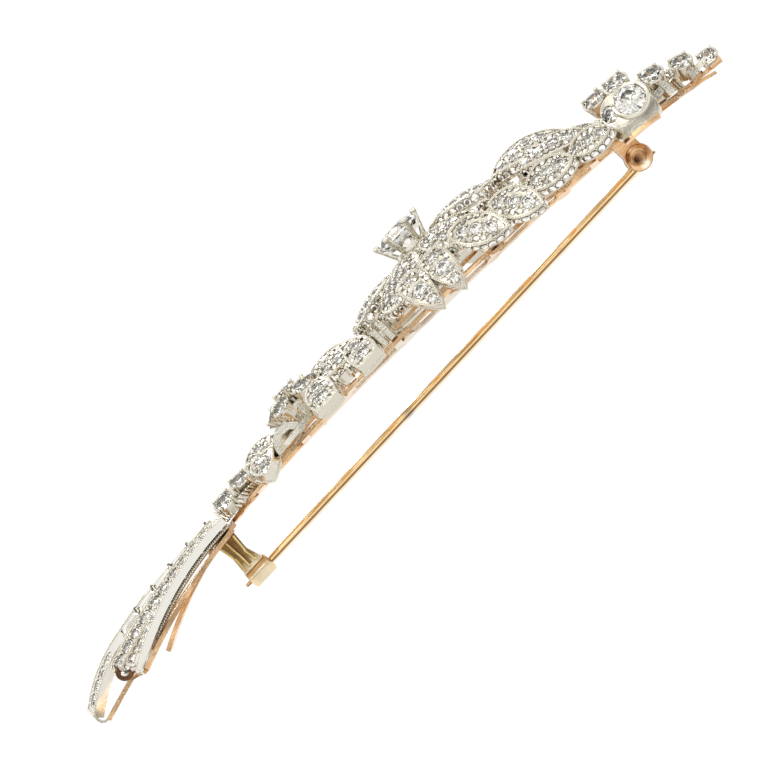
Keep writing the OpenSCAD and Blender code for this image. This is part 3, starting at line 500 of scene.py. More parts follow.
for nodeName, node in cadNodes.items():
    used = {"platinum": platinum, "rose_gold": roseGold, "diamond": diamond}
    if nodeName.startswith("baguette"):
        used["diamond"] = baguetteStone
    if nodeName == "pin_stem":
        used["rose_gold"] = pinGold
    if nodeName in ("bud_plate", "scroll_arch", "collet_pair"):
        used["platinum"] = polishedPlatinum
    if nodeName in ("stem_front", "stem_near"):
        used["platinum"] = ribbonPlatinum
    for slot in node.material_slots:
        slot.material = used.get(slot.material.name.split(".")[0], platinum)
print("materials done")


# Stones: each is ground from a round blank, facet by facet

cutTable = {
    "girdle": 0.03,
    "table": 0.30,
    "crown": 32.5,
    "star": 20.0,
    "upper": 40.0,
    "pavilion": 40.5,
    "lower": 42.5,
    "blankTop": 0.5,
    "blankFoot": 1.1,
}


def grindFacet(bm, normal, distance):
    around = bm.verts[:] + bm.edges[:] + bm.faces[:]
    cut = bmesh.ops.bisect_plane(bm, geom=around, dist=1e-6, plane_co=normal * distance, plane_no=normal,
                                 clear_outer=True)
    rim = [e for e in cut["geom_cut"] if isinstance(e, bmesh.types.BMEdge)]
    bmesh.ops.holes_fill(bm, edges=rim, sides=0)


def grindRing(bm, count, first, slope, reach, height):  # facets that all pass the same circle
    tilt = math.radians(slope)
    for k in range(count):
        turn = 2 * math.pi * k / count + math.radians(first)
        normal = Vector((math.sin(tilt) * math.cos(turn), math.sin(tilt) * math.sin(turn), math.cos(tilt)))
        grindFacet(bm, normal, math.sin(tilt) * reach + math.cos(tilt) * height)


def cutStone(cut, full):  # a brilliant of girdle radius 1, or the plainer single cut
    bm = bmesh.new()
    depth = cut["blankTop"] + cut["blankFoot"]
    bmesh.ops.create_cone(bm, cap_ends=True, segments=32 if full else 16, radius1=1, radius2=1, depth=depth)
    bmesh.ops.translate(bm, verts=bm.verts, vec=(0, 0, (cut["blankTop"] - cut["blankFoot"]) / 2))
    tableReach = 1 - (cut["table"] - cut["girdle"]) / math.tan(math.radians(cut["crown"]))
    grindRing(bm, 8, 0, cut["crown"], 1, cut["girdle"])
    grindRing(bm, 8, 0, 180 - cut["pavilion"], 1, -cut["girdle"])
    if full:
        grindRing(bm, 16, 11.25, cut["upper"], 1, cut["girdle"])
        grindRing(bm, 16, 11.25, 180 - cut["lower"], 1, -cut["girdle"])
        grindRing(bm, 8, 22.5, cut["star"], tableReach * math.cos(math.radians(22.5)), cut["table"])
    grindFacet(bm, Vector((0, 0, 1)), cut["table"])
    bmesh.ops.remove_doubles(bm, verts=bm.verts, dist=1e-4)
    bmesh.ops.recalc_face_normals(bm, faces=bm.faces)
    return bm


oldCutTable = {  # the centre stone's higher crown
    **cutTable,
    "table": 0.345,
    "crown": 38.0,
    "star": 24.0,
    "upper": 43.0,
}
brilliantCut = cutStone(cutTable, True)
oldCut = cutStone(oldCutTable, True)
singleCut = cutStone(cutTable, False)


def readStones(node):  # girdle centre, upward direction and radius of every round stone of a CAD node
    bm = mergedCopy(node)
    stones = []
    for v in bm.verts:
        if len(v.link_edges) == 16:  # the culet meets the whole girdle
            ring = [e.other_vert(v).co for e in v.link_edges]
            mid = sum(ring, Vector()) / len(ring)
            stones.append({"mid": mid, "up": (mid - v.co).normalized(), "radius": (ring[0] - mid).length,
                           "along": (ring[0] - mid).normalized(), "culet": v.co.copy()})
    bm.free()
    return stones


fieldNodes = ["petal_stones", "leaf_stones", "stem_stones", "small_flower_stones"]
singleNodes = ["centre_diamond", "small_flower_diamond", "near_cup_diamond"]
singleNodes += ["plate_diamond", "plate_side_diamond"]
cupNodes = ["knot_diamond_%d" % i for i in (1, 2, 3)] + ["bud_diamond_%d" % i for i in (1, 2, 3, 4, 5)]
stonesOf = {node: readStones(node) for node in fieldNodes + singleNodes + cupNodes}
random.seed(11)
for node, stones in stonesOf.items():
    places = []
    for stone in stones:
        turned = Matrix.Rotation(random.uniform(0, math.pi), 3, stone["up"]) @ stone["along"]
        places.append(frameAt(stone["mid"], stone["up"], turned) @ Matrix.Scale(stone["radius"], 4))
    mesh = joinCopies("cut_" + node, oldCut if node == "centre_diamond" else brilliantCut, places, False)
    piece = addPiece("cut_" + node, mesh, diamond)
    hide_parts(node)
print("stones cut:", sum(len(s) for s in stonesOf.values()))


# Grain beads that hold the stones, and claw tips

beadLook = {
    "radius": 0.15 * mm,
    "reach": 0.05 * mm,
    "lift": 0.06 * mm,
    "shared": 0.16 * mm,
    "clear": 0.02 * mm,
    "rowReach": 4,
    "turn": (0.3, 0.5, 0.8),
}
beadShape = bmesh.new()
bmesh.ops.create_uvsphere(beadShape, u_segments=8, v_segments=5, radius=1)


def beadPlaces(spots, radius, turn):  # a bead at each spot, all turned the same way
    return [frameAt(spot, up, Vector(turn)) @ Matrix.Scale(radius, 4) for spot, up in spots]


def rowDirection(stone, others):  # towards the nearest neighbour
    near = [o for o in others if o is not stone]
    if not near:
        return stone["along"]
    nearest = min(near, key=lambda o: (o["mid"] - stone["mid"]).length)
    step = nearest["mid"] - stone["mid"]
    if step.length > beadLook["rowReach"] * stone["radius"]:
        return stone["along"]
    return (step - stone["up"] * step.dot(stone["up"])).normalized()


def grainsFor(stones, look):
    spots = []
    for stone in stones:
        along = rowDirection(stone, stones)
        others = [o for o in stones if o is not stone]
        for k in range(4):
            arm = Matrix.Rotation(math.pi / 4 + k * math.pi / 2, 3, stone["up"]) @ along
            spot = stone["mid"] + arm * (stone["radius"] + look["reach"]) + stone["up"] * look["lift"]
            if any((spot - o["mid"]).length < o["radius"] + look["clear"] for o in others):
                continue
            if any((spot - s).length < look["shared"] for s, up in spots):
                continue
            spots.append((spot, stone["up"]))
    return spots


grains = []
for node in ("petal_stones", "leaf_stones", "stem_stones"):
    grains += grainsFor(stonesOf[node], beadLook)
grains += grainsFor(stonesOf["plate_diamond"] + stonesOf["plate_side_diamond"], beadLook)
places = beadPlaces(grains, beadLook["radius"], beadLook["turn"])
addCopies("grain_beads", beadShape, places, True, platinum)

clawLook = {
    "radius": 0.21 * mm,
    "reach": 0.02 * mm,
    "height": 0.28,
    "fourTurn": 45,
    "sixTurn": 30,
}
tips = []
for node in ["small_flower_stones", "small_flower_diamond", "near_cup_diamond"] + cupNodes:
    count = 6 if node == "small_flower_diamond" else 4
    turn = clawLook["sixTurn"] if count == 6 else clawLook["fourTurn"]
    for stone in stonesOf[node]:
        for k in range(count):
            angle = math.radians(turn + 360 / count * k)
            arm = Vector((math.cos(angle), math.sin(angle), 0))
            lean = Vector((0, 0, 1)).rotation_difference(stone["up"])
            arm.rotate(lean)
            spot = stone["mid"] + arm * (stone["radius"] + clawLook["reach"])
            spot += stone["up"] * (clawLook["height"] * stone["radius"])
            tips.append(frameAt(spot, stone["up"], arm) @ Matrix.Scale(clawLook["radius"], 4))
addCopies("claw_tips", beadShape, tips, True, platinum)
print("grain beads:", len(grains), "claw tips:", len(tips))


# Fine stones that fill the fields between the main ones

meleeLook = {
    "radius": 0.27 * mm,
    "pitch": 0.3 * mm,
    "gap": 0.03 * mm,
    "fieldReach": 3.4,
    "flat": 0.75,
    "level": 0.16 * mm,
    "probe": mm,
    "lift": 0.02 * mm,
    "seatReach": 0.15 * mm,
}


def isLevel(tree, hit, normal, along, look):  # the metal is flat all round a spot
    for k in range(6):
        arm = Matrix.Rotation(k * math.pi / 3, 3, normal) @ along * look["radius"]
        spot, lean, index, far = tree.ray_cast(hit + arm + normal * look["probe"], -normal, 2 * look["probe"])
        if spot is None or abs((spot - hit).dot(normal)) > look["level"] or lean.dot(normal) < look["flat"]:
            return False
    return True


def fillField(tree, stones, others, look):  # greedy filling of the metal round a row of stones
    found = []
    step = look["pitch"]
    for stone in stones:
        along = rowDirection(stone, others)
        side = stone["up"].cross(along)
        reach = int(look["fieldReach"] * stone["radius"] / step)
        for i in range(-reach, reach + 1):
            for j in range(-reach, reach + 1):
                top = stone["mid"] + along * (i * step) + side * (j * step) + stone["up"] * look["probe"]
                hit, normal, index, far = tree.ray_cast(top, -stone["up"], 2 * look["probe"])
                if hit is None or normal.dot(stone["up"]) < look["flat"]:
                    continue
                if any((hit - o["mid"]).length < o["radius"] + look["radius"] + look["gap"] for o in others):
                    continue
                if any((hit - f["mid"]).length < 2 * look["radius"] + look["gap"] for f in found):
                    continue
                if isLevel(tree, hit, normal, along, look):
                    found.append({"mid": hit + normal * look["lift"], "up": normal.copy(),
                                  "radius": look["radius"], "along": along})
    return found


leafNodes = ["leaf_spray_%d" % i for i in range(1, 21)]
melee = []
for node in leafNodes + ["centre_flower"]:
    bm = mergedCopy(node)
    tree = BVHTree.FromBMesh(bm)
    field = stonesOf["petal_stones"] if node == "centre_flower" else stonesOf["leaf_stones"]
    inside = [s for s in field if tree.find_nearest(s["culet"], meleeLook["seatReach"])[0] is not None]
    melee += fillField(tree, inside, inside, meleeLook)
    bm.free()
places = []
for stone in melee:
    turned = Matrix.Rotation(random.uniform(0, math.pi), 3, stone["up"]) @ stone["along"]
    places.append(frameAt(stone["mid"], stone["up"], turned) @ Matrix.Scale(stone["radius"], 4))
addCopies("fine_stones", singleCut, places, False, fineStone)
print("fine stones:", len(melee))


# Millegrain along the rims

millegrainLook = {
    "radius": 0.1 * mm,
    "pitch": 0.21 * mm,
    "inset": 0.1 * mm,
    "lift": 0.01 * mm,
    "turn": (0.31, 0.52, 0.79),
}
rimLook = {  # cosines between the faces at a rim, and between them and the nearest stone
    "sharp": 0.5,
    "top": 0.8,
    "wall": 0.5,
}


def vertPlace(v):  # with edgePlace, puts the parts of a rim in the same order in each run
    return tuple(round(c / mm, 4) for c in v.co)


def edgePlace(e):
    return tuple(round(c / mm, 4) for c in e.verts[0].co + e.verts[1].co)


def rimEdges(bm, stones, look):  # sharp outer edges beside faces that look the way the nearest stone does
    centres = np.array([s["mid"] for s in stones])
    picked = {}
    for e in bm.edges:
        if len(e.link_faces) != 2:
            continue
        a, b = e.link_faces
        if a.normal.dot(b.normal) > look["sharp"]:
            continue
        mid = (e.verts[0].co + e.verts[1].co) / 2
        stone = stones[int(((centres - np.array(mid)) ** 2).sum(1).argmin())]
        for top, wall in ((a, b), (b, a)):
            if top.normal.dot(stone["up"]) < look["top"]:
                continue
            if abs(wall.normal.dot(stone["up"])) > look["wall"]:
                continue
            lean = wall.calc_center_median() - mid
            outward = wall.normal.dot(mid - stone["mid"])
            if lean.dot(stone["up"]) < 0 and outward > 0:
                picked[e] = (top.normal.copy(), wall.normal.copy())
    return picked


def rimChains(node, stones):  # each rim as a row of places, with the directions of its top and wall
    bm = mergedCopy(node)
    picked = rimEdges(bm, stones, rimLook)
    chains = []
    left = dict.fromkeys(sorted(picked, key=edgePlace))
    while left:
        e = next(iter(left))
        del left[e]
        chain = sorted(e.verts, key=vertPlace)
        info = [picked[e], picked[e]]
        for end in (1, 0):
            while True:
                tipVert = chain[-1] if end else chain[0]
                nexts = [x for x in tipVert.link_edges if x in left]
                if not nexts:
                    break
                x = min(nexts, key=edgePlace)
                del left[x]
                other = x.other_vert(tipVert)
                if end:
                    chain.append(other)
                    info.append(picked[x])
                else:
                    chain.insert(0, other)
                    info.insert(0, picked[x])
        chains.append([(v.co.copy(), n, w) for v, (n, w) in zip(chain, info)])
    bm.free()
    return chains


def walkRim(chain, pitch):  # even steps along a rim
    left = pitch / 2
    for (a, n0, w0), (b, n1, w1) in zip(chain, chain[1:]):
        length = (b - a).length
        while left <= length and length > 0:
            t = left / length
            yield a.lerp(b, t), n0.lerp(n1, t), w0.lerp(w1, t).normalized()
            left += pitch
        left -= length


def beadsAlong(chain, look):
    spots = []
    for place, top, wall in walkRim(chain, look["pitch"]):
        up = top.normalized()
        spots.append((place - wall * look["inset"] + up * look["lift"], up))
    return spots


wallLook = {
    "drop": 0.47 * mm,
    "radius": 0.33 * mm,
    "pitch": 0.76 * mm,
    "proud": 0.03 * mm,
    "bead": 0.1 * mm,
    "beadSpread": 0.3 * mm,
    "farSide": -3.5 * mm,
    "budSide": 13.0 * mm,
}
footLook = {
    "depth": 0.74 * mm,
    "radius": 0.09 * mm,
    "pitch": 0.22 * mm,
}


def downWall(top, wall):  # straight down a wall from its rim
    return (-top - wall * -top.dot(wall)).normalized()


def wallRow(chain, look):  # a row of stones round a leaf's side wall, with beads between them
    stones = []
    beads = []
    for place, top, wall in walkRim(chain, look["pitch"]):
        down = downWall(top, wall)
        mid = place + down * look["drop"] + wall * look["proud"]
        along = wall.cross(down)
        stones.append({"mid": mid, "up": wall, "radius": look["radius"], "along": along})
        for side in (-1, 1):
            beads.append((mid + along * look["pitch"] / 2 + down * side * look["beadSpread"], wall))
    return stones, beads


def footRow(chain, look):  # beads along the wall's lower edge
    rim = walkRim(chain, look["pitch"])
    return [(place + downWall(top, wall) * look["depth"], wall) for place, top, wall in rim]


wallStones = []
wallBeads = []
rimBeads = []
footBeads = []
for node in leafNodes + ["centre_flower", "stem_front", "stem_beaded", "stem_near", "stem_far"]:
    if node == "centre_flower":
        field = stonesOf["petal_stones"]
    elif node.startswith("stem"):
        field = stonesOf["stem_stones"]
    else:
        field = stonesOf["leaf_stones"]
    low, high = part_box(node)
    walled = (low[1] + high[1]) / 2 > wallLook["farSide"] or (low[0] + high[0]) / 2 > wallLook["budSide"]
    for chain in rimChains(node, field):
        rimBeads += beadsAlong(chain, millegrainLook)
        if not node.startswith("stem"):
            footBeads += footRow(chain, footLook)
        if node == "stem_beaded" or (walled and not node.startswith("stem")):
            moreStones, moreBeads = wallRow(chain, wallLook)
            wallStones += moreStones
            wallBeads += moreBeads
rimShape = bmesh.new()
bmesh.ops.create_uvsphere(rimShape, u_segments=6, v_segments=4, radius=1)
places = beadPlaces(rimBeads, millegrainLook["radius"], millegrainLook["turn"])
addCopies("millegrain", rimShape, places, True, platinum)
print("millegrain beads:", len(rimBeads))
places = beadPlaces(footBeads, footLook["radius"], millegrainLook["turn"])
addCopies("wall_millegrain", rimShape, places, True, platinum)
places = [frameAt(w["mid"], w["up"], w["along"]) @ Matrix.Scale(w["radius"], 4) for w in wallStones]
addCopies("wall_stones", singleCut, places, False, fineStone)
seatShadowDisc = {
    "rings": 12,
    "spread": 1.16,
    "proud": 0.012 * mm,
}
seatShadowShape = bmesh.new()  # thin dark disc of painted shade whose rim shows round each fine stone, standing for the shadowed seat
bmesh.ops.create_circle(seatShadowShape, cap_ends=True, segments=seatShadowDisc["rings"], radius=seatShadowDisc["spread"])
places = []
for stones, sunk in ((wallStones, wallLook["proud"]), (melee, 0)):
    for s in stones:
        mid = s["mid"] + s["up"] * (seatShadowDisc["proud"] - sunk)
        places.append(frameAt(mid, s["up"], s["along"]) @ Matrix.Scale(s["radius"], 4))
addCopies("fine_seat_shadows", seatShadowShape, places, False, paintedShadeMetal)
places = beadPlaces(wallBeads, wallLook["bead"], beadLook["turn"])
addCopies("wall_beads", rimShape, places, True, platinum)
print("wall stones:", len(wallStones))


# Stems: what finishes their feet and ends. A spot on a stem is (s along it, side, depth below its top)

stemTable = {
    "front": {"start": (-18.67, -1.61, 6.61), "yaw": 2, "roll": 22, "slope": -1.3,
              "radius": 66, "length": 13.55, "endRadius": 13},
    "near": {"start": (-18.67, -5.47, 6.4), "yaw": 14, "roll": 8, "slope": -1.1,
             "radius": 29.7, "length": 14.76, "endRadius": 29.7},
}


def stemFrame(stem, s):  # Z out of the stem's top, X back towards the knot
    first = 90 + stem["slope"]
    bend = first + math.degrees(stem["length"] / stem["radius"])
    r1 = stem["radius"]
    r2 = stem["endRadius"]
    cx, cz = -r1 * math.cos(math.radians(first)), -r1 * math.sin(math.radians(first))
    if s <= stem["length"]:
        angle, r = first + math.degrees(s / r1), r1
    else:
        cx += (r1 - r2) * math.cos(math.radians(bend))
        cz += (r1 - r2) * math.sin(math.radians(bend))
        angle, r = bend + math.degrees((s - stem["length"]) / r2), r2
    spot = Vector((cx + r * math.cos(math.radians(angle)), 0, cz + r * math.sin(math.radians(angle))))
    yaw = Matrix.Rotation(math.radians(stem["yaw"]), 4, "Z")
    turn = yaw @ Matrix.Rotation(math.radians(stem["roll"]), 4, "X")
    local = Matrix.Translation(spot) @ Matrix.Rotation(math.radians(90 - angle), 4, "Y")
    return Matrix.Scale(mm, 4) @ Matrix.Translation(stem["start"]) @ turn @ local


wireLook = {
    "from": 0.3,
    "to": 11.4,
    "pitch": 0.25,
    "bead": 0.13,
    "side": -0.27,
    "drop": 1.0,
    "plateSide": 0.5,
    "plateTop": 0.55,
    "plateFoot": 1.3,
    "plateTo": 12.6,
    "windowTo": 2.6,
    "plateThick": 0.16 * mm,
    "windowSteps": 6,
    "plateSteps": 20,
}
places = []
for k in range(int((wireLook["to"] - wireLook["from"]) / wireLook["pitch"])):
    spot = stemFrame(stemTable["near"], wireLook["from"] + k * wireLook["pitch"])
    places.append(spot @ Matrix.Translation((0, wireLook["side"], -wireLook["drop"])) @
                  Matrix.Scale(wireLook["bead"], 4))
addCopies("gallery_beads", beadShape, places, True, galleryPlatinum)


def sweptPlate(name, path, thick, material):  # a strip whose two long edges follow pairs of points
    bm = bmesh.new()
    bmesh.ops.create_grid(bm, x_segments=len(path) - 1, y_segments=1, size=0.5)
    for v in bm.verts:
        low, high = path[round((v.co.x + 0.5) * (len(path) - 1))]
        v.co = low if v.co.y < 0 else high
    bmesh.ops.recalc_face_normals(bm, faces=bm.faces)
    bmesh.ops.solidify(bm, geom=bm.faces[:], thickness=thick)
    return addShape(name, bm, False, material)


def galleryPath(first, last, steps):
    path = []
    for k in range(steps + 1):
        spot = stemFrame(stemTable["near"], first + (last - first) * k / steps)
        path.append((spot @ Vector((0, wireLook["plateSide"], -wireLook["plateFoot"])),
                     spot @ Vector((0, wireLook["plateSide"], -wireLook["plateTop"]))))
    return path


# a dark plate along the gallery's first stretch: painted shade where its window shows dark
path = galleryPath(0, wireLook["windowTo"], wireLook["windowSteps"])
sweptPlate("gallery_window_shade", path, wireLook["plateThick"], paintedShadeMetal)
path = galleryPath(wireLook["windowTo"], wireLook["plateTo"], wireLook["plateSteps"])
sweptPlate("gallery_plate", path, wireLook["plateThick"], galleryPlatinum)

foldLook = {
    "thick": 0.2 * mm,
    "capY": (-2.95, -1.75),
    "capLine": [(-37.35, 1.66), (-37.7, 1.72), (-37.95, 1.95), (-38.05, 2.3), (-38.03, 2.65), (-37.96, 2.9)],
    "nearLine": [(-32.35, -9.15), (-32.5, -8.6), (-32.62, -8.0), (-32.7, -7.3), (-32.75, -6.6),
                 (-32.8, -6.0)],
    "nearZ": (2.25, 3.35),
    "nearRise": 0.65,
    "joinLine": [(-33.75, -2.5, 2.5), (-33.0, -5.3, 2.4), (-32.1, -8.9, 2.15)],
    "joinRise": 0.34,
    "joinThick": 0.45 * mm,
}
path = []
for x, z in foldLook["capLine"]:
    low, high = [Vector((x, y, z)) * mm for y in foldLook["capY"]]
    path.append((low, high))
sweptPlate("stem_end_cap", path, foldLook["thick"], platinum)
path = []
for k, (x, y) in enumerate(foldLook["nearLine"]):
    rise = foldLook["nearRise"] * k / (len(foldLook["nearLine"]) - 1)
    low, high = [Vector((x, y, z + rise)) * mm for z in foldLook["nearZ"]]
    path.append((low, high))
sweptPlate("stem_end_fold", path, foldLook["thick"], platinum)
path = []
for spot in foldLook["joinLine"]:  # where the gold strips meet under the stems' ends
    low = Vector(spot) * mm
    path.append((low, low + Vector((0, 0, foldLook["joinRise"])) * mm))
sweptPlate("strip_join", path, foldLook["joinThick"], roseGold)

curlLook = {
    "middle": (-33.35, -5.35, 3.5),
    "radius": 0.6,
    "tube": 0.2,
    "flat": 0.75,
    "from": 100,
    "sweep": 215,
    "steps": 30,
}


def makeCurl(look):  # the curl that shows under the beaded stem's end cup, in near-black gold: painted shade
    bm = bmesh.new()
    bmesh.ops.create_circle(bm, cap_ends=False, segments=12, radius=look["tube"])
    bmesh.ops.scale(bm, verts=bm.verts, vec=(1, look["flat"], 1))
    bmesh.ops.translate(bm, verts=bm.verts, vec=(look["radius"], 0, 0))
    bmesh.ops.rotate(bm, verts=bm.verts, matrix=Matrix.Rotation(math.radians(-look["from"]), 3, "Y"))
    bmesh.ops.spin(bm, geom=bm.verts[:] + bm.edges[:], cent=(0, 0, 0), axis=(0, -1, 0), dvec=(0, 0, 0),
                   angle=math.radians(look["sweep"]), steps=look["steps"])
    bmesh.ops.holes_fill(bm, edges=[e for e in bm.edges if e.is_boundary], sides=0)
    bmesh.ops.transform(bm, matrix=Matrix.Scale(mm, 4) @ Matrix.Translation(look["middle"]), verts=bm.verts)
    return addShape("stem_end_curl", bm, True, darkGold)


makeCurl(curlLook)


# Knot gallery: slanting bars round the band under the claw cups

knotLook = {
    "middle": (-16.62, -1.71, 6.05),
    "radius": 1.98,
    "from": 195,
    "to": 350,
    "bars": 13,
    "slant": 38,
    "barRadius": 0.13,
    "barLength": 0.95,
    "round": 0.12,
}
barShape = bmesh.new()
bmesh.ops.create_cone(barShape, cap_ends=True, segments=8, radius1=1, radius2=1, depth=1)
ends = [e for e in barShape.edges if len({round(v.co.z, 2) for v in e.verts}) == 1]
bmesh.ops.bevel(barShape, geom=ends, offset=knotLook["round"], affect="EDGES", segments=2, profile=0.5,
                material=-1)
places = []
for k in range(knotLook["bars"]):
    angle = math.radians(knotLook["from"] + (knotLook["to"] - knotLook["from"]) * k / (knotLook["bars"] - 1))
    spot = Vector(knotLook["middle"]) + Vector((math.cos(angle), math.sin(angle), 0)) * knotLook["radius"]
    turn = Matrix.Rotation(angle, 4, "Z") @ Matrix.Rotation(math.radians(knotLook["slant"]), 4, "X")
    places.append(Matrix.Scale(mm, 4) @ Matrix.Translation(spot) @ turn @
                  Matrix.Diagonal((knotLook["barRadius"], knotLook["barRadius"], knotLook["barLength"], 1)))
addCopies("knot_gallery", barShape, places, True, platinum)


# Plate: a raised collar under its large stone, and the gold base along its lower edge

collarLook = {
    "middle": 1.55,
    "halfWidth": 0.19,
    "halfHeight": 0.24,
    "lift": 0.1,
    "from": 158,
    "sweep": 228,
    "steps": 44,
}


def makeCollar(look):
    stone = stonesOf["plate_diamond"][0]
    bm = bmesh.new()
    bmesh.ops.create_circle(bm, cap_ends=False, segments=12, radius=1)
    bmesh.ops.scale(bm, verts=bm.verts, vec=(look["halfWidth"], look["halfHeight"], 1))
    bmesh.ops.rotate(bm, verts=bm.verts, matrix=Matrix.Rotation(math.pi / 2, 3, "X"))
    bmesh.ops.translate(bm, verts=bm.verts, vec=(look["middle"], 0, look["lift"]))
    bmesh.ops.rotate(bm, verts=bm.verts, matrix=Matrix.Rotation(math.radians(look["from"]), 3, "Z"))
    bmesh.ops.spin(bm, geom=bm.verts[:] + bm.edges[:], cent=(0, 0, 0), axis=(0, 0, 1), dvec=(0, 0, 0),
                   angle=math.radians(look["sweep"]), steps=look["steps"])
    bmesh.ops.holes_fill(bm, edges=[e for e in bm.edges if e.is_boundary], sides=0)
    place = frameAt(stone["mid"], stone["up"], Vector((1, 0, 0)))
    bmesh.ops.transform(bm, matrix=place @ Matrix.Scale(mm, 4), verts=bm.verts)
    return addShape("plate_collar", bm, True, polishedPlatinum)


makeCollar(collarLook)
baseLook = {
    "middle": (29.23, -6.71, 4.82),
    "lean": 66,
    "turn": -9,
    "fromX": -2.0,
    "toX": 1.75,
    "high": -1.98,
    "low": -2.28,
    "dome": 9.0,
    "thick": 0.5 * mm,
    "steps": 12,
}


def makeBase(look):
    turn = Matrix.Rotation(math.radians(-90), 4, "Z") @ Matrix.Rotation(math.radians(look["lean"]), 4, "Y")
    turn = turn @ Matrix.Rotation(math.radians(90 + look["turn"]), 4, "Z")
    place = Matrix.Scale(mm, 4) @ Matrix.Translation(look["middle"]) @ turn
    path = []
    for k in range(look["steps"] + 1):
        x = look["fromX"] + (look["toX"] - look["fromX"]) * k / look["steps"]
        sag = -(x * x + look["high"] ** 2) / (2 * look["dome"])
        path.append((place @ Vector((x, look["low"], sag)), place @ Vector((x, look["high"], sag))))
    return sweptPlate("plate_base", path, look["thick"], roseGold)


makeBase(baseLook)


# Claws where two baguettes meet, in the dark metal of painted shade

baguetteClaws = {
    "first": 1.25,
    "pitch": 2.3,
    "count": 5,
    "side": 0.68,
    "lift": 0.05,
    "radius": 0.15,
}
places = []
for k in range(baguetteClaws["count"]):
    for side in (-1, 1):
        spot = stemFrame(stemTable["front"], baguetteClaws["first"] + k * baguetteClaws["pitch"])
        shift = Matrix.Translation((0, side * baguetteClaws["side"], baguetteClaws["lift"]))
        places.append(spot @ shift @ Matrix.Scale(baguetteClaws["radius"], 4))
addCopies("baguette_claws", beadShape, places, True, paintedShadeMetal)


# Hinge boss: a rounded ring with a dark eye on each cheek

bossLook = {
    "spot": (27.08, -0.91, 1.2),
    "reach": 1.68,
    "profile": [(1.13, 0.0), (1.1, 0.16), (0.95, 0.34), (0.75, 0.4), (0.58, 0.33), (0.48, 0.14), (0.47, 0.0)],
    "steps": 40,
}


def makeBoss(look):
    bm = bmesh.new()
    for side in (-1, 1):
        verts = [bm.verts.new((r, 0, h)) for r, h in look["profile"]]
        edges = [bm.edges.new((a, b)) for a, b in zip(verts, verts[1:])]
        bmesh.ops.spin(bm, geom=verts + edges, cent=(0, 0, 0), axis=(0, 0, 1), dvec=(0, 0, 0),
                       angle=2 * math.pi, steps=look["steps"], use_merge=True)
        grown = {v for v in bm.verts if not v.tag}
        turn = Matrix.Rotation(math.radians(-90 * side), 4, "X")
        place = Matrix.Translation(Vector(look["spot"]) + Vector((0, side * look["reach"], 0))) @ turn
        bmesh.ops.transform(bm, matrix=Matrix.Scale(mm, 4) @ place, verts=list(grown))
        for v in bm.verts:
            v.tag = True
    bmesh.ops.remove_doubles(bm, verts=bm.verts, dist=0.001 * mm)
    return addShape("hinge_boss", bm, True, roseGold)


makeBoss(bossLook)


# Catch: round ribs up the post

catchLook = {
    "ribX": [-20.42, -19.93, -19.32],
    "ribSpread": [0.75, 0.2, 0.8],
    "ribY": -1.5,
    "ribZ": (1.75, 4.7),
    "waistZ": 3.0,
    "flare": 0.26,
    "flareHeight": 1.7,
    "ribRadius": 0.14,
    "steps": 12,
}


def makeRibs(look):
    bm = bmesh.new()
    middle = sum(look["ribX"]) / 3
    for x, spread in zip(look["ribX"], look["ribSpread"]):
        path = []
        for k in range(look["steps"] + 1):
            z = look["ribZ"][0] + (look["ribZ"][1] - look["ribZ"][0]) * k / look["steps"]
            flare = abs(z - look["waistZ"]) / look["flareHeight"] * look["flare"] * spread
            path.append(Vector((x + math.copysign(flare, x - middle), look["ribY"], z)))
        ring = bmesh.ops.create_circle(bm, cap_ends=False, segments=10, radius=look["ribRadius"])["verts"]
        bmesh.ops.translate(bm, verts=ring, vec=path[0])
        edges = list({e for v in ring for e in v.link_edges})
        bmesh.ops.contextual_create(bm, geom=edges)
        for a, b in zip(path, path[1:]):
            grown = bmesh.ops.extrude_edge_only(bm, edges=edges)["geom"]
            edges = [e for e in grown if isinstance(e, bmesh.types.BMEdge)]
            bmesh.ops.translate(bm, verts=[v for v in grown if isinstance(v, bmesh.types.BMVert)], vec=b - a)
        bmesh.ops.contextual_create(bm, geom=edges)
    bmesh.ops.scale(bm, verts=bm.verts, vec=(mm, mm, mm))
    return addShape("catch_ribs", bm, True, ribGold)


makeRibs(catchLook)
print("small fittings done")


# Studio: pale floor, soft world and the photo's camera

cameraLook = {
    "aim": (-1.23 * mm, -5 * mm, 3.955 * mm),
    "distance": 0.6,
    "elevation": 1.0,
    "roll": 47.13,
    "frameWidth": 63.75 * mm,
}


def addCamera(look):
    data = bpy.data.cameras.new("camera")
    camera = bpy.data.objects.new("camera", data)
    bpy.context.scene.collection.objects.link(camera)
    tilt = math.radians(look["elevation"])
    roll = math.radians(look["roll"])
    sight = Vector((0, math.cos(tilt), -math.sin(tilt)))
    along = Vector((1, 0, 0))
    rise = along.cross(sight)
    right = along * math.cos(roll) - rise * math.sin(roll)
    up = along * math.sin(roll) + rise * math.cos(roll)
    place = Vector(look["aim"]) - sight * look["distance"]
    camera.matrix_world = Matrix.Translation(place) @ Matrix((right, up, -sight)).transposed().to_4x4()
    data.sensor_width = 36
    data.lens = 36 * look["distance"] / look["frameWidth"]
    data.clip_start = 0.01
    data.clip_end = 50
    bpy.context.scene.camera = camera


addCamera(cameraLook)

floorLook = {
    "half": 40.0,
    "depth": 52 * mm,  # below the point of the open pin
    "shade": (0.12, 0.12, 0.12, 1),
    "glow": (0.92, 0.92, 0.915, 1),
    "roughness": 0.9,
}


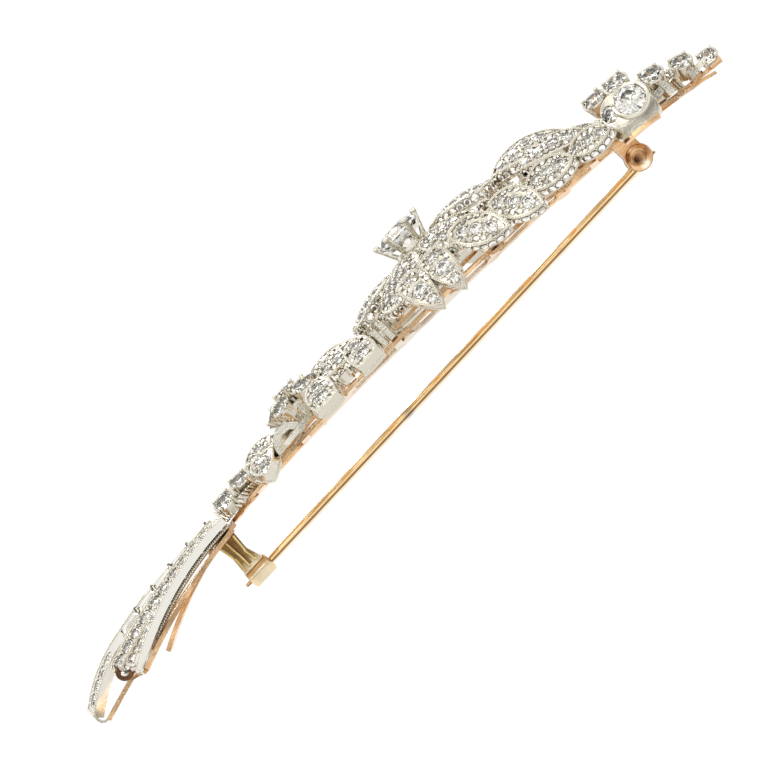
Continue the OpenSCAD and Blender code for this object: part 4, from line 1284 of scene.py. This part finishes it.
def makeFloor(look):
    bm = bmesh.new()
    bmesh.ops.create_grid(bm, x_segments=8, y_segments=8, size=look["half"])
    bmesh.ops.translate(bm, verts=bm.verts, vec=(0, 0, -look["depth"]))
    mesh = bpy.data.meshes.new("floor")
    bm.to_mesh(mesh)
    bm.free()
    floor = bpy.data.objects.new("floor", mesh)
    bpy.context.scene.collection.objects.link(floor)
    material = bpy.data.materials.new("floorPaint")
    material.use_nodes = True
    tree = material.node_tree
    shader = tree.nodes["Principled BSDF"]
    shader.inputs["Base Color"].default_value = look["shade"]
    shader.inputs["Roughness"].default_value = look["roughness"]
    shader.inputs["Specular IOR Level"].default_value = 0
    shader.inputs["Emission Color"].default_value = look["glow"]
    shader.inputs["Emission Strength"].default_value = 1
    sides = addNode(tree, "ShaderNodeNewGeometry")  # from below it is clear, so the brooch's back shows
    clear = addNode(tree, "ShaderNodeBsdfTransparent")
    either = addNode(tree, "ShaderNodeMixShader")
    tree.links.new(sides.outputs["Backfacing"], either.inputs[0])
    tree.links.new(shader.outputs["BSDF"], either.inputs[1])
    tree.links.new(clear.outputs["BSDF"], either.inputs[2])
    tree.links.new(either.outputs["Shader"], tree.nodes["Material Output"].inputs["Surface"])
    mesh.materials.append(material)


makeFloor(floorLook)

skyLook = {
    "strength": 1.0,
    "wash": 1.12,
    "behind": 0.95,
    "bands": [(0.0, 0.9), (0.47, 0.8), (0.49, 0.3), (0.53, 0.28), (0.56, 1.2), (0.67, 1.7), (0.71, 0.5),
              (0.77, 0.45), (0.8, 1.8), (0.97, 1.4)],
    "warmth": (1.0, 0.985, 0.93, 1),
    "panels": 7.0,
    "panelTurn": 0.7,
    "panelDark": 0.5,
    "panelEdge": 0.15,
    "sweepFrom": 0.1,
    "sweepTo": 0.45,
}


def makeSky(look):  # white for the camera, even for matt things, banded for what metal and stones mirror
    world = bpy.data.worlds.new("studio")
    bpy.context.scene.world = world
    world.use_nodes = True
    tree = world.node_tree
    tree.nodes.clear()
    link = tree.links.new
    coords = tree.nodes.new("ShaderNodeTexCoord")
    split = tree.nodes.new("ShaderNodeSeparateXYZ")
    link(coords.outputs["Generated"], split.inputs[0])
    height = addNode(tree, "ShaderNodeMath", operation="MULTIPLY_ADD")
    link(split.outputs["Z"], height.inputs[0])
    height.inputs[1].default_value = 0.5
    height.inputs[2].default_value = 0.5
    bands = addRamp(tree, height.outputs[0], look["bands"])
    around = addNode(tree, "ShaderNodeMath", operation="ARCTAN2")
    link(split.outputs["Y"], around.inputs[0])
    link(split.outputs["X"], around.inputs[1])
    turns = addNode(tree, "ShaderNodeMath", operation="MULTIPLY_ADD")
    link(around.outputs[0], turns.inputs[0])
    turns.inputs[1].default_value = look["panels"]
    turns.inputs[2].default_value = look["panelTurn"]
    wave = addNode(tree, "ShaderNodeMath", operation="SINE")
    link(turns.outputs[0], wave.inputs[0])
    panels = addRamp(tree, wave.outputs[0], [(0.0, look["panelDark"]), (look["panelEdge"], 1.0)])
    both = addNode(tree, "ShaderNodeMix", data_type="RGBA", blend_type="MULTIPLY")
    both.inputs["Factor"].default_value = 1
    link(bands, both.inputs["A"])
    link(panels, both.inputs["B"])
    warm = addNode(tree, "ShaderNodeMix", data_type="RGBA", blend_type="MULTIPLY")
    warm.inputs["Factor"].default_value = 1
    link(both.outputs["Result"], warm.inputs["A"])
    warm.inputs["B"].default_value = look["warmth"]
    front = addNode(tree, "ShaderNodeMapRange", clamp=True)  # the white sweep behind the brooch
    front.inputs["From Min"].default_value = look["sweepFrom"]
    front.inputs["From Max"].default_value = look["sweepTo"]
    link(split.outputs["Y"], front.inputs["Value"])
    sweep = addNode(tree, "ShaderNodeMix", data_type="RGBA")
    link(front.outputs["Result"], sweep.inputs["Factor"])
    link(warm.outputs["Result"], sweep.inputs["A"])
    sweep.inputs["B"].default_value = (look["behind"], look["behind"], look["behind"], 1)
    sky = tree.nodes.new("ShaderNodeBackground")
    link(sweep.outputs["Result"], sky.inputs["Color"])
    sky.inputs["Strength"].default_value = look["strength"]
    wash = tree.nodes.new("ShaderNodeBackground")
    wash.inputs["Strength"].default_value = look["wash"]
    wash.inputs["Color"].default_value = (1, 1, 1, 1)
    path = tree.nodes.new("ShaderNodeLightPath")
    either = addNode(tree, "ShaderNodeMath", operation="MAXIMUM")
    link(path.outputs["Is Camera Ray"], either.inputs[0])
    link(path.outputs["Is Diffuse Ray"], either.inputs[1])
    mix = tree.nodes.new("ShaderNodeMixShader")
    link(either.outputs[0], mix.inputs[0])
    link(sky.outputs[0], mix.inputs[1])
    link(wash.outputs[0], mix.inputs[2])
    out = tree.nodes.new("ShaderNodeOutputWorld")
    link(mix.outputs[0], out.inputs["Surface"])


makeSky(skyLook)

lampTable = [
    # name, place in metres, size, power
    ("key", (-0.5, -0.55, 0.75), 0.3, 1.6),
    ("fill", (0.7, -0.35, 0.5), 0.3, 0.8),
    ("back", (0.1, 0.8, 0.6), 0.3, 1.2),
]
for lampName, place, size, power in lampTable:
    lamp = bpy.data.lights.new(lampName, "AREA")
    lamp.energy = power
    lamp.size = size
    holder = bpy.data.objects.new(lampName, lamp)
    bpy.context.scene.collection.objects.link(holder)
    aim = (Vector((0, 0, 5 * mm)) - Vector(place)).normalized()
    holder.matrix_world = Matrix.Translation(place) @ aim.to_track_quat("-Z", "Y").to_matrix().to_4x4()
bpy.context.scene.view_settings.view_transform = "Standard"
print("studio done")
